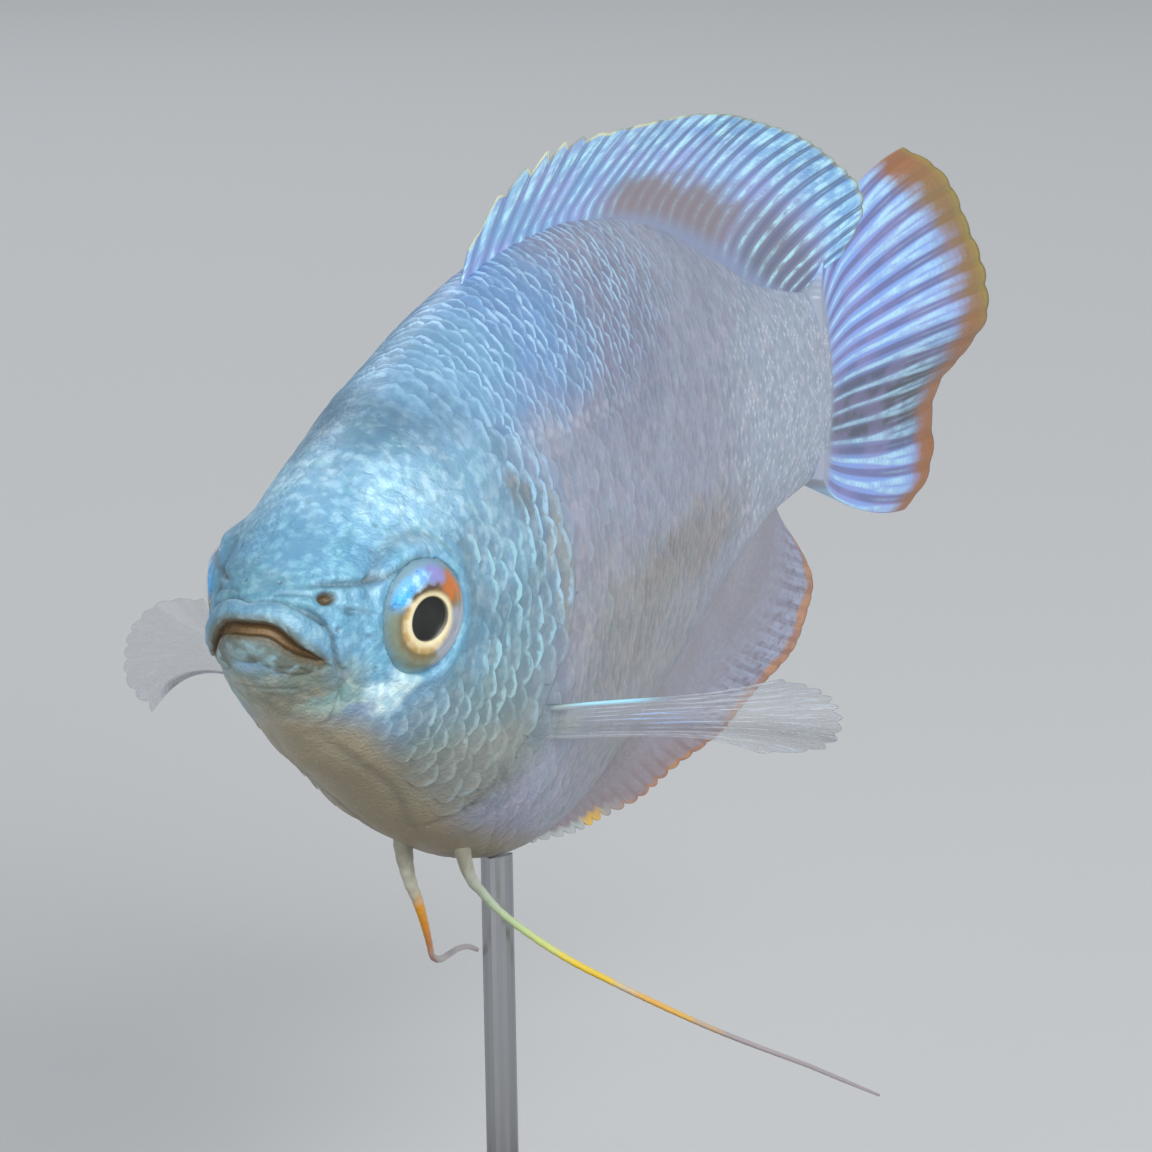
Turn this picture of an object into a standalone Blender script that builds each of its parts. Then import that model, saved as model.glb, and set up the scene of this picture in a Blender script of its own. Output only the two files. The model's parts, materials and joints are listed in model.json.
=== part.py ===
# Dwarf gourami, a life-size display model held over a turned base by one rod.
# Lengths are metres. The fish faces -X, its left flank faces -Y, and +Z is up.
# The origin is the centre of the underside of the base, on the rod's axis.
import math

import bmesh
import bpy
import numpy as np
from mathutils import Matrix, Vector

MM = 0.001
GAP = 0.3 * MM

# Where the fish hangs: its own axis starts at the mouth, this far above the floor.
SNOUT = -0.35 * MM
TAIL_BASE = 50.3 * MM
AXIS_HEIGHT = 36.5 * MM
ROD_X = 19.5 * MM

# The tail swings to the fish's left on an arc that starts behind the anal vent.
BEND_START = 38.0 * MM
BEND_PER_METRE = 7.5

# Sections of the body, in millimetres from the mouth: place, back, belly, half width,
# height of the widest line, and how pinched the back and the belly are (1 is round).
SECTIONS = (
    (-0.35, -0.35, -0.35, 0.00, -0.35, 0.95, 1.00),
    (0.3, 0.75, -1.55, 1.30, -0.52, 0.97, 1.00),
    (2.5, 2.30, -3.45, 2.60, -0.70, 0.98, 1.00),
    (5.0, 3.75, -5.60, 3.60, -0.90, 1.00, 1.00),
    (8.0, 5.30, -7.75, 4.35, -1.30, 1.05, 0.98),
    (12.0, 7.15, -10.2, 4.85, -1.90, 1.10, 0.95),
    (17.0, 9.00, -12.0, 4.95, -2.30, 1.15, 0.98),
    (22.0, 10.0, -12.25, 4.60, -2.00, 1.17, 1.07),
    (28.0, 10.1, -11.0, 3.85, -1.40, 1.20, 1.20),
    (34.0, 9.20, -9.00, 3.00, -0.80, 1.20, 1.20),
    (40.0, 7.20, -6.65, 2.15, -0.30, 1.20, 1.20),
    (45.0, 5.25, -4.75, 1.55, -0.10, 1.20, 1.20),
    (50.3, 4.10, -3.75, 0.95, 0.10, 1.20, 1.20),
)
STATIONS = 37
AROUND = 32
STATION_CROWDING = 1.6

# Seams in side view, in millimetres: the gill opening, and the start of the tail stalk.
GILL_SEAM = (
    (10.6, 12.0), (11.2, 8.5), (11.9, 6.2), (12.9, 4.5), (14.6, 3.2), (15.8, 1.3),
    (16.0, -0.6), (15.4, -2.5), (14.2, -4.4), (12.8, -6.2), (11.6, -8.0), (10.4, -10.0),
    (9.4, -12.5), (8.8, -14.0),
)
GILL_TOP = 3
GILL_FOOT = 9
COVER_FRONT = ((10.9, -6.5), (10.1, -4.6), (9.7, -2.5), (9.6, 0.0), (9.9, 2.5), (10.7, 4.4))
COVER_DEPTH = 1.0 * MM
COVER_RISE = 0.12 * MM
TAIL_SEAM_X = 43.5 * MM

# The mouth in side view, in millimetres: its upper edge, and the line behind the jaw.
GAPE = ((-1.6, 0.50), (-0.35, 0.34), (0.0, 0.20), (0.4, -0.36), (1.2, -1.02), (2.3, -1.55))
JAW_HINGE = ((2.6, -2.2), (2.9, -3.0), (3.3, -4.2), (3.8, -6.0), (4.0, -8.0))
OPENING_AT_SNOUT = 0.48 * MM
OPENING_AT_CORNER = 0.31 * MM
MOUTH_CORNER_X = 2.2 * MM
UPPER_LIP_RADIUS = 0.42 * MM
UPPER_LIP_LIFT = 0.30 * MM
UPPER_LIP_ARCH = 0.25 * MM
LOWER_LIP_RADIUS = 0.42 * MM
LOWER_LIP_DROP = (0.88 * MM, 0.60 * MM)
LIP_CENTRE = (2.5 * MM, 0.0, -0.3 * MM)
LIP_SINK = 0.06

# The eyes, each a turned piece about its own axis, and the raised orbit round it.
EYE_CENTRE = (5.65 * MM, 3.95 * MM, -0.50 * MM)
EYE_FACING = (-0.34, 0.94, -0.08)
EYE_RADIUS = 2.12 * MM
EYE_EQUATOR = -0.45 * MM
EYE_FRONT = 0.87 * MM
EYE_BACK = 1.25 * MM
PUPIL_RADIUS = 0.73 * MM
PUPIL_DIP = 0.10 * MM
ORBIT_RADIUS = 2.8 * MM
ORBIT_HALF = 1.05 * MM
ORBIT_DEPTH = 1.0 * MM
NOSTRIL_AT = (2.05 * MM, 0.78 * MM)
NOSTRIL_RADIUS = 0.24 * MM

# Fin outlines in side view, in millimetres. Each row is a ray: the share of the way along
# the base, the place of its tip, how far it leans to the fish's right, and its arch.
DORSAL_BASE = (17.0, 45.4)
DORSAL_TIPS = (
    (0.00, 18.6, 10.1, 0.0, 0.0),
    (0.08, 21.7, 11.75, 0.0, 0.0),
    (0.20, 26.0, 12.7, 0.0, 0.1),
    (0.32, 31.3, 12.75, 0.0, 0.2),
    (0.46, 37.0, 12.9, -0.1, 0.3),
    (0.60, 42.0, 12.5, -0.25, 0.4),
    (0.70, 46.2, 11.5, -0.45, 0.5),
    (0.79, 50.2, 10.1, -0.7, 0.5),
    (0.86, 52.9, 8.6, -0.8, 0.3),
    (0.92, 52.4, 7.3, -0.8, 0.1),
    (1.00, 49.0, 5.5, -0.5, 0.0),
)
ANAL_BASE = (21.6, 47.9)
ANAL_TIPS = (
    (0.00, 22.9, -12.85, 0.0, 0.0),
    (0.10, 26.6, -13.2, 0.0, 0.0),
    (0.24, 31.0, -13.4, 0.0, 0.1),
    (0.40, 37.1, -13.1, 0.0, 0.2),
    (0.54, 42.4, -12.35, 0.0, 0.3),
    (0.66, 46.6, -11.3, 0.1, 0.4),
    (0.76, 49.6, -10.3, 0.2, 0.4),
    (0.84, 51.1, -8.7, 0.3, 0.3),
    (0.92, 50.4, -6.8, 0.2, 0.1),
    (1.00, 49.2, -4.6, 0.1, 0.0),
)
CAUDAL_TIPS = (
    (0.00, 58.8, 9.15, 0.0, 0.95),
    (0.10, 61.3, 8.1, 0.0, 0.70),
    (0.20, 63.2, 6.5, 0.0, 0.50),
    (0.30, 64.6, 4.7, 0.0, 0.30),
    (0.42, 65.5, 2.6, 0.0, 0.15),
    (0.53, 65.9, 0.7, 0.1, 0.0),
    (0.61, 65.8, -0.7, 1.05, -0.10),
    (0.70, 65.5, -1.9, 1.75, -0.20),
    (0.79, 64.9, -3.3, 1.85, -0.30),
    (0.88, 64.0, -4.8, 1.75, -0.40),
    (0.95, 62.6, -6.0, 1.8, -0.50),
    (1.00, 61.0, -6.7, 1.8, -0.55),
)

# Pectoral fins: the two ends of the root on the flank, then the tips in the order of
# their rays, from the upper edge down. The left one trails and the right one is spread.
PECTORAL_ROOT = ((14.5, -5.0), (14.9, -6.8))
LEFT_TIPS = (
    (25.0, -9.0, -6.3),
    (26.4, -10.2, -6.8),
    (27.3, -10.9, -7.5),
    (27.6, -10.8, -8.2),
    (26.8, -10.0, -8.8),
    (24.9, -8.9, -9.1),
)
RIGHT_TIPS = (
    (21.9, 13.2, -4.2),
    (20.4, 14.3, -4.1),
    (20.0, 15.3, -5.0),
    (20.0, 15.7, -6.1),
    (20.0, 15.6, -7.3),
    (20.6, 14.9, -8.5),
)

# Counts of rays, and the thickness of fins: root, membrane, margin, and a ray's rise.
DORSAL_RAYS = 24
ANAL_RAYS = 26
CAUDAL_RAYS = 16
PECTORAL_RAYS = 10
LEFT_BOW = (0.0, 0.1)
RIGHT_BOW = (0.3, 1.1)
ROOT_HALF = 0.48 * MM
MEMBRANE_HALF = 0.26 * MM
MARGIN_HALF = 0.15 * MM
RAY_RISE = 0.12 * MM
RAY_START = 0.3
ROOT_SINK = 1.3 * MM
PECTORAL_SINK = 1.2 * MM

# Routes of the two feelers, in millimetres, from inside the belly to the tip.
LEFT_FEELER = (
    (14.1, -1.1, -9.8), (14.1, -1.2, -10.9), (14.4, -1.6, -12.3), (15.6, -1.9, -13.6),
    (18.0, -2.4, -15.4), (22.0, -3.0, -17.6), (29.3, -4.0, -21.1), (37.3, -5.0, -24.9),
    (44.1, -5.7, -28.1),
)
RIGHT_FEELER = (
    (14.1, 1.1, -9.8), (14.1, 1.3, -11.0), (15.1, 1.4, -13.0), (16.2, 1.5, -14.8),
    (17.1, 1.6, -16.0), (18.6, 2.0, -16.6), (23.0, 3.3, -17.9), (30.3, 5.8, -19.3),
)
FEELER_ROOT_RADIUS = 0.36 * MM
FEELER_TIP_RADIUS = 0.17 * MM
FEELER_STEPS = 26

# The stand.
BASE_RADIUS = 22.0 * MM
BASE_HEIGHT = 5.5 * MM
BASE_EDGE = 1.4 * MM
BASE_FOOT = 0.6 * MM
ROD_RADIUS = 0.6 * MM
ROD_SEAT_DEPTH = 3.0 * MM
ROD_IN_BELLY = 11.0 * MM

# Reach of the cutting shapes: ahead of the snout and past the flanks, and the places
# behind the mouth where the helper bodies for the covers and for the fins start.
AHEAD = -8.0 * MM
BEYOND = 12.0 * MM
NEAR_MIDDLE = 1.0 * MM
COVER_FORM_FROM = 6.0 * MM
CLEAR_FORM_FROM = 8.0 * MM
SHARP_EDGE = math.radians(35)

COLOURS = {
    "head": (0.42, 0.62, 0.68),
    "lower_jaw": (0.50, 0.64, 0.66),
    "gill_cover": (0.47, 0.66, 0.72),
    "trunk": (0.52, 0.60, 0.74),
    "tail_stalk": (0.58, 0.60, 0.68),
    "dorsal_fin": (0.40, 0.52, 0.82),
    "anal_fin": (0.55, 0.52, 0.66),
    "caudal_fin": (0.50, 0.56, 0.80),
    "pectoral_fin": (0.74, 0.80, 0.88),
    "pelvic_feeler": (0.85, 0.62, 0.18),
    "eye": (0.10, 0.09, 0.07),
    "stand_base": (0.12, 0.06, 0.035),
    "stand_rod": (0.62, 0.62, 0.62),
}


def smooth(knots, values, at):
    """Cubic curves through rows of values at the knots, read at any places."""
    knots = np.asarray(knots, float)
    values = np.asarray(values, float)
    at = np.asarray(at, float)
    step = np.diff(knots)[:, None]
    slope = np.diff(values, axis=0) / step
    tangent = np.empty_like(values)
    tangent[1:-1] = (step[:-1] * slope[1:] + step[1:] * slope[:-1]) / (step[1:] + step[:-1])
    tangent[0] = 1.5 * slope[0] - 0.5 * tangent[1]
    tangent[-1] = 1.5 * slope[-1] - 0.5 * tangent[-2]
    index = np.clip(np.searchsorted(knots, at, side="right") - 1, 0, len(knots) - 2)
    share = ((at - knots[index]) / step[index, 0])[..., None]
    start = (2 * share**3 - 3 * share**2 + 1) * values[index]
    start = start + (share**3 - 2 * share**2 + share) * step[index] * tangent[index]
    end = (3 * share**2 - 2 * share**3) * values[index + 1]
    end = end + (share**3 - share**2) * step[index] * tangent[index + 1]
    return start + end


def from_snout(x):
    """Square-root distance from the mouth, which rounds the nose."""
    return np.sqrt(np.clip(np.asarray(x, float) - SNOUT, 0, None))


def section(x):
    """Back, belly, half width, widest line and the two pinches of the body at x."""
    table = np.array(SECTIONS)
    sizes = table[:, 1:5] * MM
    values = np.hstack([sizes, table[:, 5:]])
    return np.moveaxis(smooth(from_snout(table[:, 0] * MM), values, from_snout(x)), -1, 0)


def flank(x, angle, grow=0.0):
    """A point of the straight body. Angle 0 is the right flank and a quarter turn the back."""
    back, belly, half_width, level, pinch_back, pinch_belly = section(x)
    across = np.cos(angle)
    up = np.sin(angle)
    pinch = np.where(up > 0, pinch_back, pinch_belly)
    reach = np.where(up > 0, back - level, level - belly) + grow
    y = (half_width + grow) * np.sign(across) * np.abs(across) ** pinch
    return np.stack(np.broadcast_arrays(x, y, level + reach * up), -1)


def flank_at(x, z, side):
    """The point of the straight body at x and height z, on one side (+1 is right)."""
    back, belly, half_width, level, pinch_back, pinch_belly = section(x)
    reach = np.where(z > level, back - level, belly - level)
    up = np.clip((z - level) / reach, 0, 1)
    pinch = np.where(z > level, pinch_back, pinch_belly)
    y = side * half_width * np.sqrt(1 - up**2) ** pinch
    return np.stack(np.broadcast_arrays(x, y, z), -1)


def bend(points):
    """Swing the tail: x of the straight fish becomes the distance along its bent axis."""
    points = np.asarray(points, float)
    beyond = np.clip(points[..., 0] - BEND_START, 0, None)
    turn = beyond * BEND_PER_METRE
    x = points[..., 0] - beyond + np.sin(turn) / BEND_PER_METRE
    y = (np.cos(turn) - 1) / BEND_PER_METRE
    x = x + points[..., 1] * np.sin(turn)
    y = y + points[..., 1] * np.cos(turn)
    return np.stack([x, y, points[..., 2]], -1)


def place(points):
    """From the fish's own axis to the stand's frame."""
    return np.asarray(points, float) + np.array([-ROD_X, 0.0, AXIS_HEIGHT])


def offset_line(line, distance):
    """Move a line of side-view points sideways, to the right of its direction of travel."""
    line = np.asarray(line, float)
    along = np.gradient(line, axis=0)
    along = along / np.linalg.norm(along, axis=1, keepdims=True)
    return line + distance * np.stack([-along[:, 1], along[:, 0]], -1)


def new_object(name, points, faces, collection):
    mesh = bpy.data.meshes.new(name)
    mesh.from_pydata([tuple(point) for point in points], [], faces)
    obj = bpy.data.objects.new(name, mesh)
    collection.objects.link(obj)
    turn_faces_out(obj)
    return obj


def turn_faces_out(obj):
    shape = bmesh.new()
    shape.from_mesh(obj.data)
    bmesh.ops.recalc_face_normals(shape, faces=shape.faces)
    if shape.calc_volume(signed=True) < 0:
        bmesh.ops.reverse_faces(shape, faces=shape.faces)
    shape.to_mesh(obj.data)
    shape.free()


def apply_modifiers(obj):
    graph = bpy.context.evaluated_depsgraph_get()
    mesh = bpy.data.meshes.new_from_object(obj.evaluated_get(graph))
    obj.modifiers.clear()
    worn = obj.data
    obj.data = mesh
    bpy.data.meshes.remove(worn)


def mesh_from_curve(curve, name):
    """Turn a curve object into a mesh object with its caps welded on."""
    graph = bpy.context.evaluated_depsgraph_get()
    mesh = bpy.data.meshes.new_from_object(curve.evaluated_get(graph))
    obj = bpy.data.objects.new(name, mesh)
    obj.matrix_world = curve.matrix_world.copy()
    curve.users_collection[0].objects.link(obj)
    bpy.data.objects.remove(curve)
    shape = bmesh.new()
    shape.from_mesh(mesh)
    bmesh.ops.remove_doubles(shape, verts=shape.verts, dist=0.00001)
    shape.to_mesh(mesh)
    shape.free()
    turn_faces_out(obj)
    return obj


def remove(obj):
    bpy.data.objects.remove(obj)


def boolean(obj, operation, tools):
    """One Boolean with a list of closed meshes, applied, and the meshes removed."""
    group = bpy.data.collections.new("tools")
    cutters.children.link(group)
    for tool in tools:
        for holder in tool.users_collection:
            holder.objects.unlink(tool)
        group.objects.link(tool)
    modifier = obj.modifiers.new(operation.lower(), "BOOLEAN")
    modifier.operation = operation
    modifier.operand_type = "COLLECTION"
    modifier.collection = group
    apply_modifiers(obj)
    for tool in tools:
        remove(tool)
    bpy.data.collections.remove(group)


def keep_largest(obj):
    """Keep only the closed surface with the largest area."""
    shape = bmesh.new()
    shape.from_mesh(obj.data)
    loose = set(shape.faces)
    pieces = []
    while loose:
        front = [loose.pop()]
        piece = []
        while front:
            face = front.pop()
            piece.append(face)
            for edge in face.edges:
                for other in edge.link_faces:
                    if other in loose:
                        loose.remove(other)
                        front.append(other)
        pieces.append(piece)
    pieces.sort(key=lambda piece: sum(face.calc_area() for face in piece))
    for piece in pieces[:-1]:
        bmesh.ops.delete(shape, geom=piece, context="FACES")
    shape.to_mesh(obj.data)
    shape.free()


def finish(obj, kind, metallic=0.0, roughness=0.4):
    """Give a node its own material, smooth shading and its place in the model."""
    keep_largest(obj)
    material = bpy.data.materials.new(obj.name)
    material.use_nodes = True
    shader = material.node_tree.nodes["Principled BSDF"]
    shader.inputs["Base Color"].default_value = (*COLOURS[kind], 1.0)
    shader.inputs["Metallic"].default_value = metallic
    shader.inputs["Roughness"].default_value = roughness
    obj.data.materials.clear()
    obj.data.materials.append(material)
    obj.data.shade_smooth()
    obj.data.set_sharp_from_angle(angle=SHARP_EDGE)
    for holder in obj.users_collection:
        holder.objects.unlink(obj)
    model.objects.link(obj)
    return obj


def body_form(name, grow=0.0, first=SNOUT):
    """The closed body from x = first to the tail base, grown sideways and up and down."""
    share = np.linspace(0, 1, STATIONS) ** STATION_CROWDING
    stations = first + (TAIL_BASE - first) * share
    angles = np.arange(AROUND) * 2 * math.pi / AROUND
    rings = stations if first > SNOUT else stations[1:]
    grid = flank(rings[:, None], angles[None, :], grow)
    points = list(place(bend(grid)).reshape(-1, 3))
    faces = []
    for ring in range(len(rings) - 1):
        for side in range(AROUND):
            here = ring * AROUND + side
            beside = ring * AROUND + (side + 1) % AROUND
            faces.append((here, beside, beside + AROUND, here + AROUND))
    last = (len(rings) - 1) * AROUND
    faces.append(tuple(range(last, last + AROUND)))
    if first > SNOUT:
        faces.append(tuple(range(AROUND - 1, -1, -1)))
    else:
        nose = len(points)
        points.append(place(flank(SNOUT, 0.0)))
        for side in range(AROUND):
            faces.append((nose, (side + 1) % AROUND, side))
    return new_object(name, points, faces, cutters)


def clear_of_body(obj):
    """Cut a fin, feeler or rod so that it ends just short of the body's surface."""
    boolean(obj, "DIFFERENCE", [body_form("clear_body", GAP, CLEAR_FORM_FROM)])


def prism(name, outline, low=-BEYOND, high=BEYOND):
    """A side-view outline carried across the fish from y = low to y = high."""
    outline = np.asarray(outline, float)
    count = len(outline)
    near = np.column_stack([outline[:, 0], np.full(count, low), outline[:, 1]])
    far = np.column_stack([outline[:, 0], np.full(count, high), outline[:, 1]])
    faces = [tuple(range(count)), tuple(range(2 * count - 1, count - 1, -1))]
    for index in range(count):
        after = (index + 1) % count
        faces.append((index, after, after + count, index + count))
    return new_object(name, place(np.vstack([near, far])), faces, cutters)


def gill_line():
    """The gill opening from the nape down, with two points to each one of the table."""
    knots = np.arange(len(GILL_SEAM))
    return smooth(knots, np.array(GILL_SEAM) * MM, np.arange(0, len(knots) - 0.5, 0.5))


def mouth_line(clearance):
    """Upper edge of the gape and the line behind the jaw, or the jaw's own edges."""
    gape = np.array(GAPE) * MM
    x = np.linspace(gape[0, 0], gape[-1, 0], 15)
    z = smooth(gape[:, 0], gape[:, 1:], x)[:, 0]
    closing = np.clip((x - SNOUT) / (MOUTH_CORNER_X - SNOUT), 0, 1)
    opening = OPENING_AT_SNOUT + (OPENING_AT_CORNER - OPENING_AT_SNOUT) * closing
    upper = np.stack([x, z - (0.0 if clearance else 1.0) * opening], -1)
    hinge = np.array(JAW_HINGE) * MM
    if clearance:
        hinge = offset_line(hinge, clearance)
        upper = np.vstack([upper, upper[-1] + (clearance, 0.0)])
    bottom = hinge[-1, 1]
    return np.vstack([upper, hinge, [(AHEAD, bottom), (AHEAD, upper[0, 1])]])


def lip(name, shift, radius):
    """A tube that follows the edge of the gape round the snout, thinner at its corners."""
    gape = np.array(GAPE) * MM
    reach = np.linspace(SNOUT, MOUTH_CORNER_X, 400)
    closing = (reach - SNOUT) / (MOUTH_CORNER_X - SNOUT)
    edge = smooth(gape[:, 0], gape[:, 1:], reach)[:, 0] + shift(closing)
    back, belly = section(reach)[:2]
    first = reach[np.argmax((edge < back) & (edge > belly))]
    share = np.linspace(0, 1, 9)
    x = first + (MOUTH_CORNER_X - first) * share**2
    right = flank_at(x, np.interp(x, reach, edge), 1)
    right[0, 1] = 0.0
    inward = np.array(LIP_CENTRE)
    right = inward + (right - inward) * (1 - LIP_SINK)
    left = right[:0:-1] * (1, -1, 1)
    swell = 1 + 0.55 * share**2 - 1.05 * share**4
    radii = np.concatenate([swell[:0:-1], swell])
    return tube(name, place(np.vstack([left, right])), radius, radii)


def tube(name, path, radius, radii):
    """A round tube along a path, with its radius scaled from point to point."""
    curve = bpy.data.curves.new(name, "CURVE")
    curve.dimensions = "3D"
    curve.bevel_depth = radius
    curve.bevel_resolution = 2
    curve.use_fill_caps = True
    line = curve.splines.new("POLY")
    line.points.add(len(path) - 1)
    for point, at, scale in zip(line.points, path, radii):
        point.co = (*at, 1.0)
        point.radius = scale
    obj = bpy.data.objects.new(name + "_curve", curve)
    cutters.objects.link(obj)
    return mesh_from_curve(obj, name)


def upper_lip_shift(closing):
    return UPPER_LIP_LIFT + UPPER_LIP_ARCH * np.sin(math.pi * closing)


def lower_lip_shift(closing):
    return -LOWER_LIP_DROP[0] + (LOWER_LIP_DROP[0] - LOWER_LIP_DROP[1]) * closing


def eye_frame(side):
    """A matrix whose Z looks out of one eye (+1 is right), at the centre of its disc."""
    facing = Vector((EYE_FACING[0], side * EYE_FACING[1], EYE_FACING[2]))
    centre = Vector((EYE_CENTRE[0] - ROD_X, side * EYE_CENTRE[1], EYE_CENTRE[2] + AXIS_HEIGHT))
    return Matrix.Translation(centre) @ facing.to_track_quat("Z", "Y").to_matrix().to_4x4()


def ellipsoid(name, frame, radius, half, depth, segments=24):
    """A flattened ball on an eye's axis, its middle at this depth behind the disc."""
    shape = bmesh.new()
    bmesh.ops.create_uvsphere(shape, u_segments=segments, v_segments=segments // 2, radius=1.0)
    size = Matrix.Diagonal((radius, radius, half, 1.0))
    place_it = frame @ Matrix.Translation((0, 0, -depth)) @ size
    bmesh.ops.transform(shape, matrix=place_it, verts=shape.verts)
    mesh = bpy.data.meshes.new(name)
    shape.to_mesh(mesh)
    shape.free()
    obj = bpy.data.objects.new(name, mesh)
    cutters.objects.link(obj)
    turn_faces_out(obj)
    return obj


def turned(name, profile, steps, frame):
    """A profile of (radius, height) points turned about Z, top to bottom."""
    mesh = bpy.data.meshes.new(name)
    points = [(radius, 0.0, height) for radius, height in profile]
    mesh.from_pydata(points, [(index, index + 1) for index in range(len(points) - 1)], [])
    obj = bpy.data.objects.new(name, mesh)
    cutters.objects.link(obj)
    screw = obj.modifiers.new("turn", "SCREW")
    screw.steps = steps
    screw.render_steps = steps
    screw.use_merge_vertices = True
    screw.merge_threshold = 0.00001
    apply_modifiers(obj)
    obj.data.transform(frame)
    turn_faces_out(obj)
    return obj


def fin(name, rays, rows, middle, half, notch, per_ray=3):
    """A closed fin on a grid, with a raised column on each ray and lower ones between."""
    columns = (rays - 1) * per_ray + 1
    on_ray = (np.arange(columns) % per_ray) == 0
    across = np.linspace(0, 1, columns)[:, None]
    along = np.linspace(0, 1, rows)[None, :]
    margin = np.where(on_ray, 1.0, 1.0 - notch)[:, None]
    grid = middle(across + 0 * along, along * margin)
    rise = np.where(on_ray, RAY_RISE, 0.0)[:, None] * (1 - 0.5 * along)
    thickness = half(across, along) + rise * np.clip(along / RAY_START, 0, 1)
    normal = np.cross(np.gradient(grid, axis=0), np.gradient(grid, axis=1))
    normal = normal / np.linalg.norm(normal, axis=2, keepdims=True)
    front = (grid + normal * thickness[..., None]).reshape(-1, 3)
    behind = (grid - normal * thickness[..., None]).reshape(-1, 3)
    size = columns * rows
    faces = []
    for column in range(columns - 1):
        for row in range(rows - 1):
            a = column * rows + row
            b = a + rows
            for triangle in ((a, b, b + 1), (a, b + 1, a + 1)):
                faces.append(triangle)
                faces.append(tuple(size + index for index in reversed(triangle)))
    rim = [column * rows for column in range(columns)]
    rim += [(columns - 1) * rows + row for row in range(1, rows)]
    rim += [column * rows + rows - 1 for column in range(columns - 2, -1, -1)]
    rim += [row for row in range(rows - 2, 0, -1)]
    for here, after in zip(rim, rim[1:] + rim[:1]):
        faces.append((here, size + here, size + after))
        faces.append((here, size + after, after))
    return new_object(name, np.vstack([front, behind]), faces, cutters)


def fin_half(across, along):
    """Half the thickness of a fin: a fleshy root, an even membrane and a fine margin."""
    root = np.clip(1 - along / 0.35, 0, 1) ** 1.5
    tip = np.clip((along - 0.8) / 0.2, 0, 1)
    half = MEMBRANE_HALF + (ROOT_HALF - MEMBRANE_HALF) * root - (MEMBRANE_HALF - MARGIN_HALF) * tip
    return half + 0 * across


def arched(root, tip, arch, share):
    """A ray from root to tip that arches up by about this much at its middle."""
    share = share[..., None]
    lift = np.zeros_like(root)
    lift[..., 2] = arch
    lift[..., 0] = -0.6 * np.abs(arch)
    return root + (tip - root) * share + 4 * lift * share * (1 - share)


def median_fin(name, rays, rows, base, tips, edge, notch):
    """The dorsal or the anal fin. Its first row of points lies inside the body."""
    table = np.array(tips)
    sizes = table[:, 1:] * MM

    def middle(across, along):
        tip_x, tip_z, lean, arch = np.moveaxis(smooth(table[:, 0], sizes, across), -1, 0)
        root_x = (base[0] + (base[1] - base[0]) * across) * MM
        root_z = section(root_x)[edge]
        root = np.stack([root_x, 0 * root_x, root_z], -1)
        tip = np.stack([tip_x, lean, tip_z], -1)
        share = np.clip(along * (1 + 1 / (rows - 1)) - 1 / (rows - 1), 0, None)
        points = arched(root, tip, arch if edge == 0 else -arch, share)
        points[..., 1] = lean * share**2
        inside = root + np.array([-0.4 * MM, 0.0, -ROOT_SINK if edge == 0 else ROOT_SINK])
        points = np.where((along == 0)[..., None], inside, points)
        return place(bend(points))

    obj = fin(name, rays, rows, middle, fin_half, notch)
    clear_of_body(obj)
    return finish(obj, name)


def caudal_fin():
    """The tail fin, which starts as tall and as thick as the end of the stalk."""
    table = np.array(CAUDAL_TIPS)
    sizes = table[:, 1:] * MM
    back, belly, half_width, level = section(TAIL_BASE)[:4]
    start = TAIL_BASE + GAP

    def middle(across, along):
        tip_x, tip_z, lean, arch = np.moveaxis(smooth(table[:, 0], sizes, across), -1, 0)
        root_z = back + (belly - back) * across
        root = np.stack([start + 0 * root_z, 0 * root_z, root_z], -1)
        points = arched(root, np.stack([tip_x, lean, tip_z], -1), arch, along)
        points[..., 1] = lean * along**2
        return place(bend(points))

    def half(across, along):
        height = 2 * across - 1
        stalk = half_width * np.sqrt(1 - 0.85 * height**2)
        root = np.clip(1 - along / 0.4, 0, 1) ** 1.5
        return fin_half(across, 0.5 + 0.5 * along) * (1 - root) + stalk * root

    return finish(fin("caudal_fin", CAUDAL_RAYS, 8, middle, half, 0.03), "caudal_fin")


def pectoral_fin(name, side, tips, bow):
    """A fan of rays from a short root low on the flank, just behind the gill cover."""
    table = np.array(tips) * MM
    knots = np.linspace(0, 1, len(table))
    upper, lower = (np.array(end) * MM for end in PECTORAL_ROOT)

    def middle(across, along):
        foot = upper + (lower - upper) * across[..., None]
        root = flank_at(foot[..., 0], foot[..., 1], side)
        tip = smooth(knots, table, across)
        away = (tip - root) / np.linalg.norm(tip - root, axis=-1, keepdims=True)
        inside = root - away * PECTORAL_SINK
        points = inside + (tip - inside) * along[..., None]
        bulge = 4 * along * (1 - along) * MM
        points[..., 1] += side * 0.5 * bulge
        points[..., 2] += (bow[0] + (bow[1] - bow[0]) * across) * bulge
        return place(points)

    obj = fin(name, PECTORAL_RAYS, 7, middle, fin_half, 0.03, per_ray=2)
    clear_of_body(obj)
    return finish(obj, "pectoral_fin", roughness=0.3)


def feeler(name, route):
    """A pelvic feeler: one long soft ray, round in section, that tapers to its tip."""
    route = np.array(route) * MM
    steps = np.linalg.norm(np.diff(route, axis=0), axis=1)
    knots = np.concatenate([[0.0], np.cumsum(steps)]) / steps.sum()
    share = np.linspace(0, 1, FEELER_STEPS) ** 1.3
    path = place(smooth(knots, route, share))
    taper = FEELER_TIP_RADIUS / FEELER_ROOT_RADIUS
    obj = tube(name, path, FEELER_ROOT_RADIUS, 1 + (taper - 1) * share)
    clear_of_body(obj)
    return finish(obj, "pelvic_feeler", roughness=0.35)


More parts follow.
